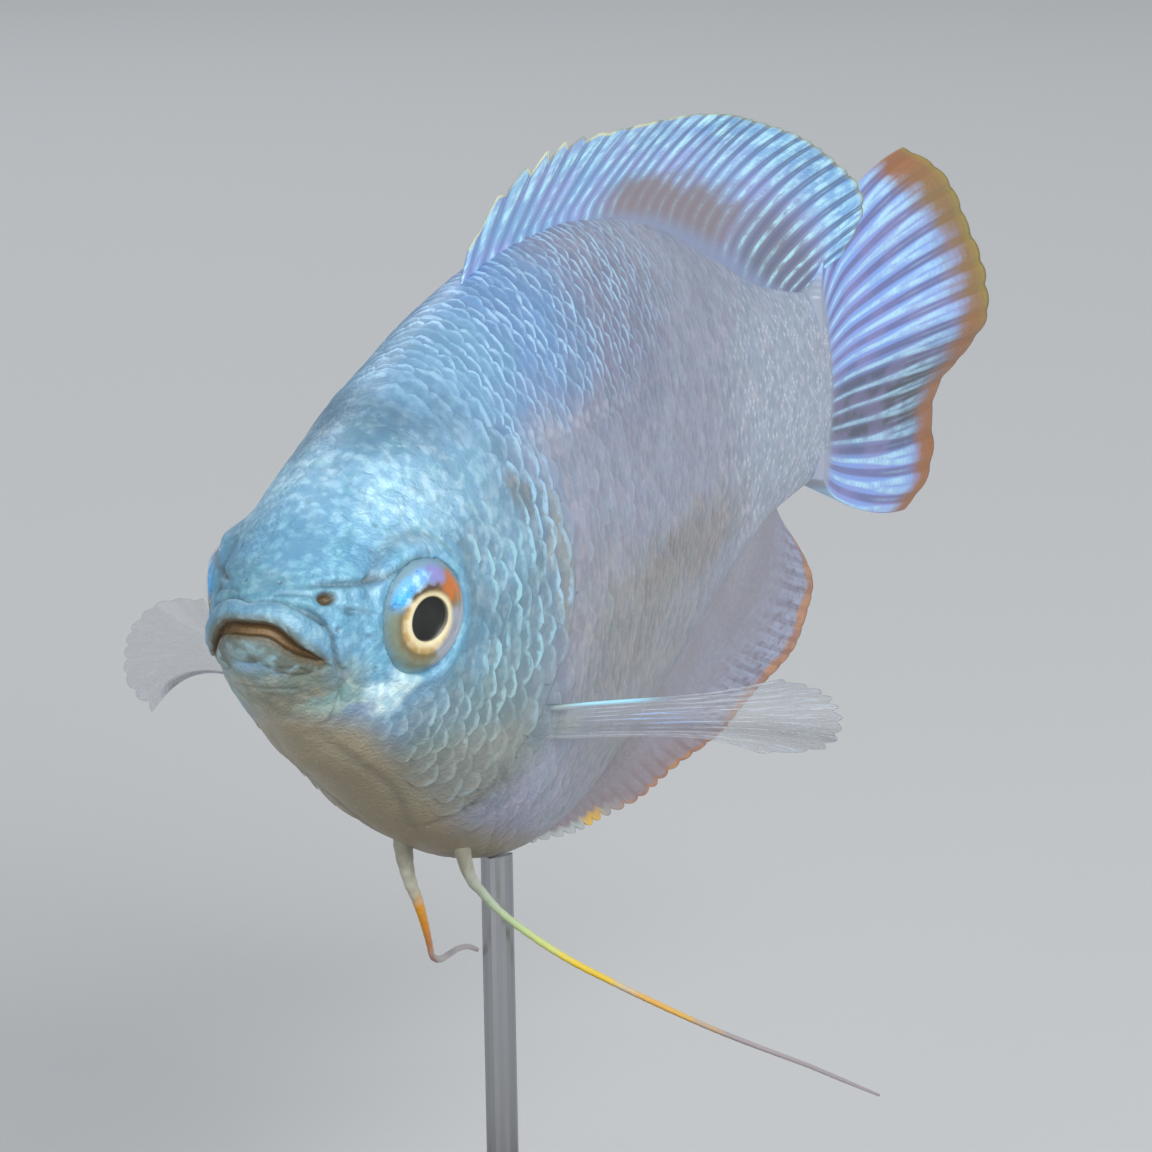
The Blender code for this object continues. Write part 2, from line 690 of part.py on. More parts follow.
def gill_cover(name, side):
    """A thin plate, standing a little proud, that lies in a pocket of the head."""
    rear = gill_line()[2 * GILL_TOP : 2 * GILL_FOOT + 1]
    outline = np.vstack([rear, np.array(COVER_FRONT) * MM])
    low, high = sorted((side * NEAR_MIDDLE, side * BEYOND))
    obj = body_form(name, COVER_RISE, COVER_FORM_FROM)
    boolean(obj, "INTERSECT", [prism("cover_outline", outline, low, high)])
    boolean(obj, "DIFFERENCE", [body_form("cover_core", -COVER_DEPTH, COVER_FORM_FROM)])
    return finish(obj, "gill_cover")


def gill_pocket(side):
    """The space that a gill cover needs in the head, open to the rear."""
    rear = offset_line(gill_line()[2 * GILL_TOP : 2 * GILL_FOOT + 1], 2.0 * MM)
    front = offset_line(np.array(COVER_FRONT) * MM, GAP)
    front[0, 1] -= GAP
    front[-1, 1] += GAP
    rear[0, 1] = front[-1, 1]
    low, high = sorted((side * NEAR_MIDDLE, side * BEYOND))
    pocket = prism("gill_pocket", np.vstack([rear, front]), low, high)
    core = body_form("pocket_core", -COVER_DEPTH - GAP, COVER_FORM_FROM)
    boolean(pocket, "DIFFERENCE", [core])
    return pocket


def head():
    """Snout, brow and cheeks, with the upper lip, nostrils, eye sockets and gill pockets."""
    obj = body_form("head")
    line = gill_line()
    ahead = [(AHEAD, line[-1, 1]), (AHEAD, line[0, 1])]
    boolean(obj, "INTERSECT", [prism("head_outline", np.vstack([line, ahead]))])
    pieces = [lip("upper_lip", upper_lip_shift, UPPER_LIP_RADIUS)]
    for side in (-1, 1):
        pieces.append(ellipsoid("orbit", eye_frame(side), ORBIT_RADIUS, ORBIT_HALF, ORBIT_DEPTH))
    boolean(obj, "UNION", pieces)
    boolean(obj, "DIFFERENCE", [prism("mouth_gap", mouth_line(GAP))])
    for side in (-1, 1):
        radius = EYE_RADIUS + GAP
        frame = eye_frame(side)
        boolean(obj, "DIFFERENCE", [ellipsoid("socket", frame, radius, EYE_BACK + GAP, -EYE_EQUATOR)])
        boolean(obj, "DIFFERENCE", [gill_pocket(side)])
        nostril = place(flank_at(NOSTRIL_AT[0], NOSTRIL_AT[1], side))
        there = Matrix.Translation(nostril)
        boolean(obj, "DIFFERENCE", [ellipsoid("nostril", there, NOSTRIL_RADIUS, NOSTRIL_RADIUS, 0.0, 8)])
    return finish(obj, "head")


def lower_jaw():
    """The jaw with its lip, apart from the head along the gape and the hinge line."""
    obj = body_form("lower_jaw")
    boolean(obj, "UNION", [lip("lower_lip", lower_lip_shift, LOWER_LIP_RADIUS)])
    boolean(obj, "INTERSECT", [prism("jaw_outline", mouth_line(0.0))])
    return finish(obj, "lower_jaw")


def trunk():
    """From the gill opening to the start of the tail stalk."""
    obj = body_form("trunk")
    line = offset_line(gill_line(), GAP)
    behind = [(TAIL_SEAM_X, line[-1, 1]), (TAIL_SEAM_X, line[0, 1])]
    boolean(obj, "INTERSECT", [prism("trunk_outline", np.vstack([line, behind]))])
    return finish(obj, "trunk")


def tail_stalk():
    """The short stalk that carries the tail fin, flat where the fin meets it."""
    obj = body_form("tail_stalk")
    start = TAIL_SEAM_X + GAP
    end = TAIL_BASE + BEYOND
    outline = [(start, BEYOND), (start, -BEYOND), (end, -BEYOND), (end, BEYOND)]
    boolean(obj, "INTERSECT", [prism("stalk_outline", outline)])
    return finish(obj, "tail_stalk")


def eye(name, side):
    """An eyeball with a sunken pupil, flatter in front than behind."""
    profile = [(0.0, EYE_EQUATOR + EYE_FRONT - PUPIL_DIP)]
    edge = PUPIL_RADIUS / EYE_RADIUS
    for share in (0.55 * edge, edge):
        height = EYE_EQUATOR + EYE_FRONT * math.sqrt(1 - share**2) - PUPIL_DIP
        profile.append((EYE_RADIUS * share, height))
    for share in (1.12 * edge, 0.55, 0.75, 0.90, 0.98):
        profile.append((EYE_RADIUS * share, EYE_EQUATOR + EYE_FRONT * math.sqrt(1 - share**2)))
    for turn in (0, 25, 50, 72, 90):
        angle = math.radians(turn)
        profile.append((EYE_RADIUS * math.cos(angle), EYE_EQUATOR - EYE_BACK * math.sin(angle)))
    profile[-1] = (0.0, profile[-1][1])
    return finish(turned(name, profile, 24, eye_frame(side)), "eye", roughness=0.1)


def stand_base():
    """A turned disc with a rounded upper edge, a small foot and a blind hole for the rod."""
    seat = ROD_RADIUS + GAP
    profile = [(0.0, BASE_HEIGHT - ROD_SEAT_DEPTH), (seat, BASE_HEIGHT - ROD_SEAT_DEPTH)]
    profile.append((seat, BASE_HEIGHT))
    for step in range(7):
        angle = math.radians(90 - 15 * step)
        out = BASE_RADIUS - BASE_EDGE + BASE_EDGE * math.cos(angle)
        profile.append((out, BASE_HEIGHT - BASE_EDGE + BASE_EDGE * math.sin(angle)))
    profile += [(BASE_RADIUS, BASE_FOOT), (BASE_RADIUS - BASE_FOOT, 0.0), (0.0, 0.0)]
    obj = turned("stand_base", profile, 56, Matrix.Identity(4))
    return finish(obj, "stand_base", roughness=0.35)


def stand_rod():
    """The rod from its seat in the base up to the belly."""
    foot = BASE_HEIGHT - ROD_SEAT_DEPTH + GAP
    top = AXIS_HEIGHT - ROD_IN_BELLY
    bpy.ops.mesh.primitive_cylinder_add(
        vertices=20,
        radius=ROD_RADIUS,
        depth=top - foot,
        location=(0.0, 0.0, (top + foot) / 2),
    )
    obj = bpy.context.object
    obj.name = "stand_rod"
    clear_of_body(obj)
    return finish(obj, "stand_rod", metallic=1.0, roughness=0.25)


for leftover in list(bpy.data.objects):
    bpy.data.objects.remove(leftover)
model = bpy.data.collections.new("Dwarf gourami")
bpy.context.scene.collection.children.link(model)
cutters = bpy.data.collections.new("Cutters")
cutters.hide_render = True
bpy.context.scene.collection.children.link(cutters)

head()
lower_jaw()
gill_cover("gill_cover_left", -1)
gill_cover("gill_cover_right", 1)
trunk()
tail_stalk()
eye("eye_left", -1)
eye("eye_right", 1)
median_fin("dorsal_fin", DORSAL_RAYS, 8, DORSAL_BASE, DORSAL_TIPS, 0, 0.05)
median_fin("anal_fin", ANAL_RAYS, 8, ANAL_BASE, ANAL_TIPS, 1, 0.05)
caudal_fin()
pectoral_fin("pectoral_fin_left", -1, LEFT_TIPS, LEFT_BOW)
pectoral_fin("pectoral_fin_right", 1, RIGHT_TIPS, RIGHT_BOW)
feeler("pelvic_feeler_left", LEFT_FEELER)
feeler("pelvic_feeler_right", RIGHT_FEELER)
stand_base()
stand_rod()
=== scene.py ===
# %% [markdown]
# # A dwarf gourami as a museum model
# This lesson dresses a small fish model for display. The solid model already fixes where
# every part sits. Here each part gets its fine surface: one skin with lips and folds, a
# coat of scales, rayed fins, glassy eyes, and a turned wooden stand.
# The solid model is loaded first, because every later piece is placed by it.

import json
import math

import bmesh
import bpy
import numpy as np
from mathutils import Matrix, Vector

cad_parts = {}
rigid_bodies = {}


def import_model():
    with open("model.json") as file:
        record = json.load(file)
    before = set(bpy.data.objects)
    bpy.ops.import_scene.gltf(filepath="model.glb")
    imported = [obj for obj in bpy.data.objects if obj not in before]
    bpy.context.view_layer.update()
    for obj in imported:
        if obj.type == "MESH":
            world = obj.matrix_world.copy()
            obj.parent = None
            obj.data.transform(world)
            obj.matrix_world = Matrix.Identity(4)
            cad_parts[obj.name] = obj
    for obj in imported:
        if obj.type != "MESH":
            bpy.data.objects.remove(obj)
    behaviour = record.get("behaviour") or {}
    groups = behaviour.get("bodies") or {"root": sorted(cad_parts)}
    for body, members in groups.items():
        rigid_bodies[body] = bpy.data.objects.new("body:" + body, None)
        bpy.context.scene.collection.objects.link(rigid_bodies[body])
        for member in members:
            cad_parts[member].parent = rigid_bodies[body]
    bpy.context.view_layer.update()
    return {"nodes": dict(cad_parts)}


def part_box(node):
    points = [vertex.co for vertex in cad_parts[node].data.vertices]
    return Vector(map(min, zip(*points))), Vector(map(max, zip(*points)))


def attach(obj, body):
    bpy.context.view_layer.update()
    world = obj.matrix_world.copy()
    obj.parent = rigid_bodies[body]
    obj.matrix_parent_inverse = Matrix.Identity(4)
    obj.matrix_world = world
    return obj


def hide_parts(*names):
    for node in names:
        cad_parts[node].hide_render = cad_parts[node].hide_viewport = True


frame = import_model()
MM = 0.001
base_low, base_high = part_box("stand_base")

# %% [markdown]
# ## The camera
# The picture looks at the fish almost head-on, a little from above, with a long lens. The
# camera is described the way a photographer would: where it stands, which way it faces,
# how far it tips down and how much it rolls. A long focal length keeps the head from
# bulging, as it does when a small fish is photographed from close by.

# %% Set the camera
PICTURE_SIDE = 1152
FOCAL_PIXELS = 5571
SENSOR_WIDTH = 36.0
CAMERA_AT = Vector((-181.98, -84.37, 75.31)) * MM
FACING = math.radians(-66.02)
TIPPED_DOWN = math.radians(11.51)
ROLLED = math.radians(-1.0)

camera = bpy.data.objects.new("photo_camera", bpy.data.cameras.new("photo_camera"))
camera.data.sensor_width = SENSOR_WIDTH
camera.data.lens = FOCAL_PIXELS * SENSOR_WIDTH / PICTURE_SIDE
camera.data.clip_start = 0.01
turn = Matrix.Rotation(FACING, 4, "Z") @ Matrix.Rotation(math.pi / 2 - TIPPED_DOWN, 4, "X")
camera.matrix_world = Matrix.Translation(CAMERA_AT) @ turn @ Matrix.Rotation(ROLLED, 4, "Z")
bpy.context.scene.collection.objects.link(camera)
bpy.context.scene.camera = camera
bpy.context.scene.view_settings.view_transform = "Standard"
print("lens in mm:", round(camera.data.lens, 1))

# %% [markdown]
# ## A small kit for shader nodes
# Every finish below is a network of nodes. Writing each link by hand hides the idea, so
# this helper adds a node, fills its sockets with numbers or links, and hands back an
# output. Its other words are short names for what comes up again and again: a product, a
# soft ramp, a glaze of colour, stretched noise and relief. It only shortens the writing: the
# networks are ordinary Blender materials.


# %% Make the node helper
class Board:
    """Adds nodes to one tree. Any value may be a number, a colour or another output."""

    def __init__(self, tree):
        self.tree = tree

    def put(self, socket, value):
        if isinstance(value, bpy.types.NodeSocket):
            self.tree.links.new(value, socket)
        elif socket.type == "RGBA" and len(value) == 3:
            socket.default_value = (*value, 1.0)
        else:
            socket.default_value = value

    def node(self, kind, values=None, **settings):
        made = self.tree.nodes.new("ShaderNode" + kind)
        for name, value in settings.items():
            setattr(made, name, value)
        for key, value in (values or {}).items():
            self.put(made.inputs[key], value)
        return made

    def math(self, operation, *values):
        return self.node("Math", dict(enumerate(values)), operation=operation).outputs[0]

    def vector(self, operation, *values):
        made = self.node("VectorMath", dict(enumerate(values)), operation=operation)
        return made.outputs["Value" if operation in ("LENGTH", "DOT_PRODUCT") else "Vector"]

    def mix(self, share, colour, other, blend="MIX"):
        values = {0: share, 6: colour, 7: other}
        return self.node("Mix", values, data_type="RGBA", blend_type=blend).outputs[2]

    def ramp(self, value, low, high):
        """Rises smoothly from 0 at low to 1 at high. Low may be the larger number."""
        values = {"Value": value, "From Min": low, "From Max": high}
        made = self.node("MapRange", values, interpolation_type="SMOOTHSTEP")
        return made.outputs[0]

    def noise(self, place, scale, detail=2.0):
        values = {"Vector": place, "Scale": scale, "Detail": detail}
        return self.node("TexNoise", values).outputs["Fac"]

    def times(self, *values):
        """All the values multiplied together."""
        total = values[0]
        for value in values[1:]:
            total = self.math("MULTIPLY", total, value)
        return total

    def scaled(self, value, factor, offset):
        """The value times a factor, plus an offset."""
        return self.math("MULTIPLY_ADD", value, factor, offset)

    def near(self, value, middle, far, close):
        """1 where the value is within close of the middle, 0 where it is beyond far."""
        return self.ramp(self.math("ABSOLUTE", self.math("SUBTRACT", value, middle)), far, close)

    def paint(self, colour, tint, *shares):
        """Lay a tint over a colour where all the shares agree."""
        return self.mix(self.times(*shares), colour, tint)

    def stretched(self, place, stretch, scale, detail):
        """Noise in a place that is stretched by its own factor along each axis."""
        return self.noise(self.vector("MULTIPLY", place, stretch), scale, detail)

    def relief(self, shader, height, strength, distance):
        """Tilt the shader's normal by a height, over this distance in metres."""
        bump = self.node("Bump", {"Strength": strength, "Distance": distance, "Height": height})
        self.put(shader.inputs["Normal"], bump.outputs[0])

    def attribute(self, name, output="Vector"):
        return self.node("Attribute", attribute_name=name).outputs[output]

    def split(self, vector):
        return self.node("SeparateXYZ", {0: vector}).outputs


def new_material(name, **constants):
    """A material with its Principled shader, and a board to build on."""
    material = bpy.data.materials.new(name)
    material.use_nodes = True
    shader = material.node_tree.nodes["Principled BSDF"]
    board = Board(material.node_tree)
    for key, value in constants.items():
        board.put(shader.inputs[key.replace("_", " ")], value)
    return material, board, shader


def new_group(name, inputs, outputs):
    """A node group with named sockets, and the boards' ends to link from and to."""
    tree = bpy.data.node_groups.new(name, "ShaderNodeTree")
    for label, kind in inputs:
        tree.interface.new_socket(name=label, in_out="INPUT", socket_type="NodeSocket" + kind)
    for label, kind in outputs:
        tree.interface.new_socket(name=label, in_out="OUTPUT", socket_type="NodeSocket" + kind)
    start = tree.nodes.new("NodeGroupInput")
    end = tree.nodes.new("NodeGroupOutput")
    return tree, Board(tree), start.outputs, end.inputs


def use_group(board, tree, values):
    """Place a group in a material. Returns its outputs by name."""
    made = board.node("Group")
    made.node_tree = tree
    for key, value in values.items():
        board.put(made.inputs[key], value)
    return made.outputs


print("node helper ready")

# %% [markdown]
# ## Floor and light
# A museum photographs its models on a pale, even ground under large soft lamps. Large
# lamps give wide highlights that show how satin or wet a surface is, and soft shadows
# that keep the thin feelers readable. The floor is a broad sheet, so that it fills the
# picture from every side.

# %% Lay the floor and hang the lamps
FLOOR_HALF = 3.0
FLOOR_TONE = (0.62, 0.63, 0.64)
bpy.ops.mesh.primitive_plane_add(size=2 * FLOOR_HALF, location=(0, 0, base_low[2]))
floor = bpy.context.object
floor.name = "studio_floor"
paper, board, shader = new_material("pale_paper", Base_Color=FLOOR_TONE, Roughness=0.9)
fibre = board.noise(board.node("TexCoord").outputs["Object"], 900.0)
board.relief(shader, fibre, 0.05, 0.0002)
floor.data.materials.append(paper)

LAMPS = (
    # name, place in metres, size, power in watts, colour
    ("key_lamp", (-0.30, -0.44, 0.34), 0.34, 3.3, (1.0, 0.98, 0.95)),
    ("front_lamp", (-0.52, 0.10, 0.16), 0.30, 0.9, (0.94, 0.97, 1.0)),
    ("rim_lamp", (0.42, 0.30, 0.42), 0.30, 0.7, (0.95, 0.97, 1.0)),
)
AIM = Vector((0.0, 0.0, 0.035))
for name, at, size, power, tint in LAMPS:
    lamp = bpy.data.objects.new(name, bpy.data.lights.new(name, "AREA"))
    lamp.data.size = size
    lamp.data.energy = power
    lamp.data.color = tint
    lamp.location = at
    lamp.rotation_euler = (AIM - Vector(at)).to_track_quat("-Z", "Y").to_euler()
    bpy.context.scene.collection.objects.link(lamp)

SKY_TINT = (0.80, 0.84, 0.88, 1.0)
SKY_STRENGTH = 0.46
world = bpy.data.worlds.new("studio")
world.use_nodes = True
sky = world.node_tree.nodes["Background"]
sky.inputs["Color"].default_value = SKY_TINT
sky.inputs["Strength"].default_value = SKY_STRENGTH
bpy.context.scene.world = world
print("lamps:", [entry[0] for entry in LAMPS])

# %% [markdown]
# ## The fish's own ruler
# A fish is easiest to measure laid out straight, in millimetres from its mouth. Sections
# along the body give its back, its belly and its width, and smooth curves run between
# them. A point of the straight fish is then swung round with the tail, and moved to where
# the fish hangs over its stand. Every piece below uses this one ruler, so all of them meet.

# %% Measure the straight body
SNOUT = -0.35
TAIL_BASE = 50.3
BEND_START = 38.0
BEND_PER_MM = 0.0075
SECTIONS = (
    # x, height of back and belly, half width, height of the widest line, two pinches
    (-0.35, -0.35, -0.35, 0.00, -0.35, 0.95, 1.00),
    (0.3, 0.75, -1.55, 1.30, -0.52, 0.97, 1.00),
    (2.5, 2.30, -3.45, 2.60, -0.70, 0.98, 1.00),
    (5.0, 3.75, -5.60, 3.60, -0.90, 1.00, 1.00),
    (8.0, 5.30, -7.75, 4.35, -1.30, 1.05, 0.98),
    (12.0, 7.15, -10.2, 4.85, -1.90, 1.10, 0.95),
    (17.0, 9.00, -12.0, 4.95, -2.30, 1.15, 0.98),
    (22.0, 10.0, -12.25, 4.60, -2.00, 1.17, 1.07),
    (28.0, 10.1, -11.0, 3.85, -1.40, 1.20, 1.20),
    (34.0, 9.20, -9.00, 3.00, -0.80, 1.20, 1.20),
    (40.0, 7.20, -6.65, 2.15, -0.30, 1.20, 1.20),
    (45.0, 5.25, -4.75, 1.55, -0.10, 1.20, 1.20),
    (50.3, 4.10, -3.75, 0.95, 0.10, 1.20, 1.20),
)


def smooth(knots, values, at):
    """Cubic curves through rows of values at the knots, read at any places."""
    knots, values, at = (np.asarray(item, float) for item in (knots, values, at))
    step = np.diff(knots)[:, None]
    slope = np.diff(values, axis=0) / step
    tangent = np.empty_like(values)
    tangent[1:-1] = (step[:-1] * slope[1:] + step[1:] * slope[:-1]) / (step[1:] + step[:-1])
    tangent[0] = 1.5 * slope[0] - 0.5 * tangent[1]
    tangent[-1] = 1.5 * slope[-1] - 0.5 * tangent[-2]
    index = np.clip(np.searchsorted(knots, at, side="right") - 1, 0, len(knots) - 2)
    share = ((at - knots[index]) / step[index, 0])[..., None]
    start = (2 * share**3 - 3 * share**2 + 1) * values[index]
    start = start + (share**3 - 2 * share**2 + share) * step[index] * tangent[index]
    end = (3 * share**2 - 2 * share**3) * values[index + 1]
    return start + end + (share**3 - share**2) * step[index] * tangent[index + 1]


def from_snout(x):
    """Square-root distance from the mouth, which rounds the nose."""
    return np.sqrt(np.clip(np.asarray(x, float) - SNOUT, 0, None))


def section(x):
    """Back, belly, half width, widest line and the two pinches of the body at x."""
    table = np.array(SECTIONS)
    return np.moveaxis(smooth(from_snout(table[:, 0]), table[:, 1:], from_snout(x)), -1, 0)


def flank(x, angle):
    """A point of the straight body. Angle 0 is the right flank, a quarter turn the back."""
    back, belly, half_width, level, pinch_back, pinch_belly = section(x)
    across, up = np.cos(angle), np.sin(angle)
    pinch = np.where(up > 0, pinch_back, pinch_belly)
    reach = np.where(up > 0, back - level, level - belly)
    y = half_width * np.sign(across) * np.abs(across) ** pinch
    return np.stack(np.broadcast_arrays(x, y, level + reach * up), -1)


def flank_at(x, z, side=1):
    """The point of the straight body at x and height z, on one side."""
    back, belly, half_width, level, pinch_back, pinch_belly = section(x)
    reach = np.where(z > level, back - level, belly - level)
    pinch = np.where(z > level, pinch_back, pinch_belly)
    up = np.clip((z - level) / reach, 0, 1)
    y = side * half_width * np.sqrt(1 - up**2) ** pinch
    return np.stack(np.broadcast_arrays(x, y, z), -1)


print("body depth at the dorsal fin, mm:", round(float(section(22.0)[0] - section(22.0)[1]), 1))

# %% [markdown]
# ## From the ruler to the stand
# The rod stands at the origin and enters the belly a little behind the head, so the mouth
# lies ahead of it. The fish's axis runs at a fixed height over the floor. The tail swings
# to the fish's left along an arc, and whatever grows on it swings too.

# %% Place the straight fish over the stand
ROD_FROM_MOUTH = 19.5
AXIS_OVER_FLOOR = 36.5


def swing(points):
    """Bend the straight fish: x becomes the distance along its bent axis."""
    points = np.asarray(points, float)
    beyond = np.clip(points[..., 0] - BEND_START, 0, None)
    angle = beyond * BEND_PER_MM
    x = points[..., 0] - beyond + np.sin(angle) / BEND_PER_MM + points[..., 1] * np.sin(angle)
    y = (np.cos(angle) - 1) / BEND_PER_MM + points[..., 1] * np.cos(angle)
    return np.stack([x, y, points[..., 2]], -1)


def to_stand(points):
    """Straight-fish millimetres to metres over the stand."""
    return (swing(points) + (-ROD_FROM_MOUTH, 0.0, AXIS_OVER_FLOOR)) * MM


def rise(value, low, high):
    """0 below low, 1 above high, smooth between. Low may be the larger number."""
    share = np.clip((np.asarray(value, float) - low) / (high - low), 0, 1)
    return share * share * (3 - 2 * share)


def hump(value, width):
    """A soft bump: 1 where the value is 0, and nearly nothing two widths away."""
    return np.exp(-((value / width) ** 2))


nose = to_stand(flank(np.array(SNOUT), 0.0))
print("nose over the floor, mm:", round(float(nose[2] / MM), 1))

# %% [markdown]
# ## Turning arrays into pieces
# Each piece is worked out as an array of points. One function turns points and faces into a smooth-shaded
# object, stores extra values on its points for the materials to read, and says which body the piece rides
# on and which solids it replaces.


# %% Write the piece maker
def make_piece(name, points, faces, slot, replaced=(), **values):
    """A mesh piece from metres, with named per-point values for its material."""
    mesh = bpy.data.meshes.new(name)
    mesh.from_pydata(np.asarray(points).tolist(), [], faces)
    mesh.shade_smooth()
    for label, data in values.items():
        data = np.asarray(data, float)
        kind, field = ("FLOAT", "value") if data.ndim == 1 else ("FLOAT_VECTOR", "vector")
        mesh.attributes.new(label, kind, "POINT").data.foreach_set(field, data.ravel())
    obj = bpy.data.objects.new(name, mesh)
    bpy.context.scene.collection.objects.link(obj)
    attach(obj, "root")
    if replaced:
        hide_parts(*replaced)
    print(name, "faces:", len(mesh.polygons))
    return obj


def grid_faces(rows, columns, closed=False, start=0):
    """Quads of a grid of points, row after row. A closed grid joins its ends."""
    row = np.arange(rows - 1)[:, None]
    column = np.arange(columns if closed else columns - 1)[None, :]
    here = start + row * columns + column
    beside = start + row * columns + (column + 1) % columns
    quads = np.stack([here, beside, beside + columns, here + columns], -1)
    return quads.reshape(-1, 4).tolist()


print("piece maker ready")

# %% [markdown]
# ## Lines on the head
# The face is drawn with a few lines, each a short row of places seen from the side: the
# gape, the fold behind the jaw, the brow and the edge of the gill cover. Both flanks share
# them, so every test below folds the left side onto the right one. How far a point of the
# skin lies from such a line decides how deep a groove or how high a ridge it gets there.

# %% Draw the lines
GAPE = ((-1.6, 0.26), (-0.35, 0.10), (0.0, -0.03), (0.4, -0.56), (1.2, -1.12), (2.3, -1.50))
MOUTH_CORNER_X = 1.5
JAW_FOLD = (
    (0.9, 0.75), (1.2, 0.48), (1.55, 0.09), (1.77, -0.39), (1.93, -1.0), (2.1, -1.5), (2.67, -1.95),
)
JAW_BACK = ((2.55, -2.3), (2.9, -3.0), (3.2, -3.75))
LIP_CREASE = ((0.10, -1.26), (0.45, -1.34), (0.85, -1.42), (1.3, -1.65))
CHIN_CREASE = ((0.62, -1.95), (0.8, -2.0), (1.1, -2.1), (1.5, -2.25))
BROW = ((1.5, 1.20), (2.35, 1.17), (3.38, 1.07), (4.49, 1.27), (5.31, 1.58), (6.62, 1.80))
SNOUT_FOLD = ((0.72, 1.02), (1.10, 1.05), (1.55, 0.92), (1.97, 0.80))
NOSE_SLOT = ((2.15, 0.50), (2.60, 0.28), (3.10, 0.12), (3.56, 0.02))
GILL_EDGE = (
    (12.1, 5.6), (12.9, 4.5), (14.6, 3.2), (15.8, 1.3), (16.0, -0.6), (15.4, -2.5),
    (14.2, -4.4), (12.8, -6.2), (11.6, -8.0), (10.2, -9.4),
)
THROAT_FOLD = ((3.1, -3.9), (5.4, -5.6), (8.0, -7.4), (10.4, -9.2), (12.2, -10.2))
CHEEK_FOLD = ((8.9, 1.7), (9.3, 0.0), (9.1, -2.2), (8.2, -4.1), (6.6, -5.2), (4.8, -4.7))


def trace(table, count=60):
    """A smooth line through side-view places, laid on the right flank."""
    table = np.array(table)
    steps = np.linalg.norm(np.diff(table, axis=0), axis=1)
    knots = np.concatenate([[0.0], np.cumsum(steps)])
    flat = smooth(knots, table, np.linspace(0, knots[-1], count))
    return flank_at(flat[:, 0], flat[:, 1])


def gape_line(count=80):
    """The middle of the gape, from the front of the snout to the corner of the mouth."""
    table = np.array(GAPE)
    x = np.linspace(SNOUT, MOUTH_CORNER_X, 600)
    z = smooth(table[:, 0], table[:, 1:], x)[:, 0]
    first = x[np.argmax(z < section(x)[0])]
    x = first + (MOUTH_CORNER_X - first) * np.linspace(0, 1, count) ** 2
    line = flank_at(x, smooth(table[:, 0], table[:, 1:], x)[:, 0])
    line[0, 1] = 0.0
    return line


def near_line(points, line):
    """For each point: distance to the line, share of the way along it, nearest spot."""
    best = np.full(len(points), np.inf)
    share = np.zeros(len(points))
    spot = np.zeros_like(points)
    lengths = np.linalg.norm(np.diff(line, axis=0), axis=1)
    starts = np.concatenate([[0.0], np.cumsum(lengths)])
    for index, length in enumerate(lengths):
        along = line[index + 1] - line[index]
        t = np.clip((points - line[index]) @ along / length**2, 0, 1)
        nearest = line[index] + t[:, None] * along
        distance = np.linalg.norm(points - nearest, axis=1)
        better = distance < best
        best[better] = distance[better]
        share[better] = (starts[index] + t * length)[better] / starts[-1]
        spot[better] = nearest[better]
    return best, share, spot


print("length of one side of the gape, mm:",
      round(float(np.linalg.norm(np.diff(gape_line(), axis=0), axis=1).sum()), 2))

# %% [markdown]
# ## The skin, first as a smooth loft
# One skin covers head, jaw, gill covers, trunk and tail stalk, so that no seam of the
# solids shows. A loft of rings is the natural start: its rings stand close together at
# the small mouth and further apart on the long flank. Everything else on the face is then
# a push along the surface's own direction, which keeps the rings in order.

# %% Loft the skin
STATIONS = 340
AROUND = 304
FIRST_REACH = 0.02
STEP = (from_snout(TAIL_BASE) - FIRST_REACH) / (STATIONS - 1)
reach = FIRST_REACH + STEP * np.arange(STATIONS)
station_x = SNOUT + reach**2
ring_angle = np.arange(AROUND) * 2 * math.pi / AROUND
loft = flank(station_x[:, None], ring_angle[None, :])


def grid_normals(grid):
    """Outward directions of a closed grid of rings."""
    around = np.roll(grid, -1, axis=1) - np.roll(grid, 1, axis=1)
    normal = np.cross(around, np.gradient(grid, axis=0))
    return normal / np.maximum(np.linalg.norm(normal, axis=2, keepdims=True), 1e-12)


loft_normals = grid_normals(loft)
outward = np.sum(loft_normals[STATIONS // 2, 0] * (0, 1, 0))
loft_normals = loft_normals * np.sign(outward)
folded = (loft * (1, 0, 1) + np.abs(loft) * (0, 1, 0)).reshape(-1, 3)
print("skin points:", STATIONS * AROUND)

# %% [markdown]
# ## Lips and gape
# The mouth of a gourami points up and forward and droops at its corners. Between the lips
# a band of brown lining shows. The gape is pressed in along its line, the upper lip is one
# even roll that is thickest at its side, and the lower lip is broader and flatter. The
# share of the way to the corner thins all three.

# %% Shape the mouth
OPENING = 0.22
LINING_DEPTH = 0.42
UPPER_ROLL = 0.21
LOWER_ROLL = 0.055
# strength of the painted shade on the lower lip under the upper lip
LIP_SHADE_LEVEL = 0.09
push = np.zeros(len(folded))
marks = {name: np.zeros(len(folded)) for name in ("lips", "upper", "gape", "pits", "crease")}

face = np.flatnonzero(folded[:, 0] < 4.5)
distance, share, spot = near_line(folded[face], gape_line())
above = folded[face, 2] > spot[:, 2] - 0.6 * (folded[face, 0] - spot[:, 0])
half_open = OPENING * np.clip(1.01 - share**2, 0, 1) ** 0.70
upper_width = np.interp(share, (0, 0.4, 0.7, 0.9, 1.0), (0.72, 0.95, 1.05, 1.0, 0.8))
lower_width = np.interp(share, (0, 0.5, 0.8, 1.0), (1.05, 0.95, 0.75, 0.45))
ends = 1 - rise(distance, 0.9, 1.5) * (share > 0.995)
fade = np.where(share > 0.995, rise(distance, 0.55, 0.1), 1.0)


def roll(depth, width):
    """A rounded roll that starts at depth 0 and ends at this width."""
    part = np.clip(depth / width, 0, 1)
    return np.clip(4 * part * (1 - part), 0, 1) ** 0.65


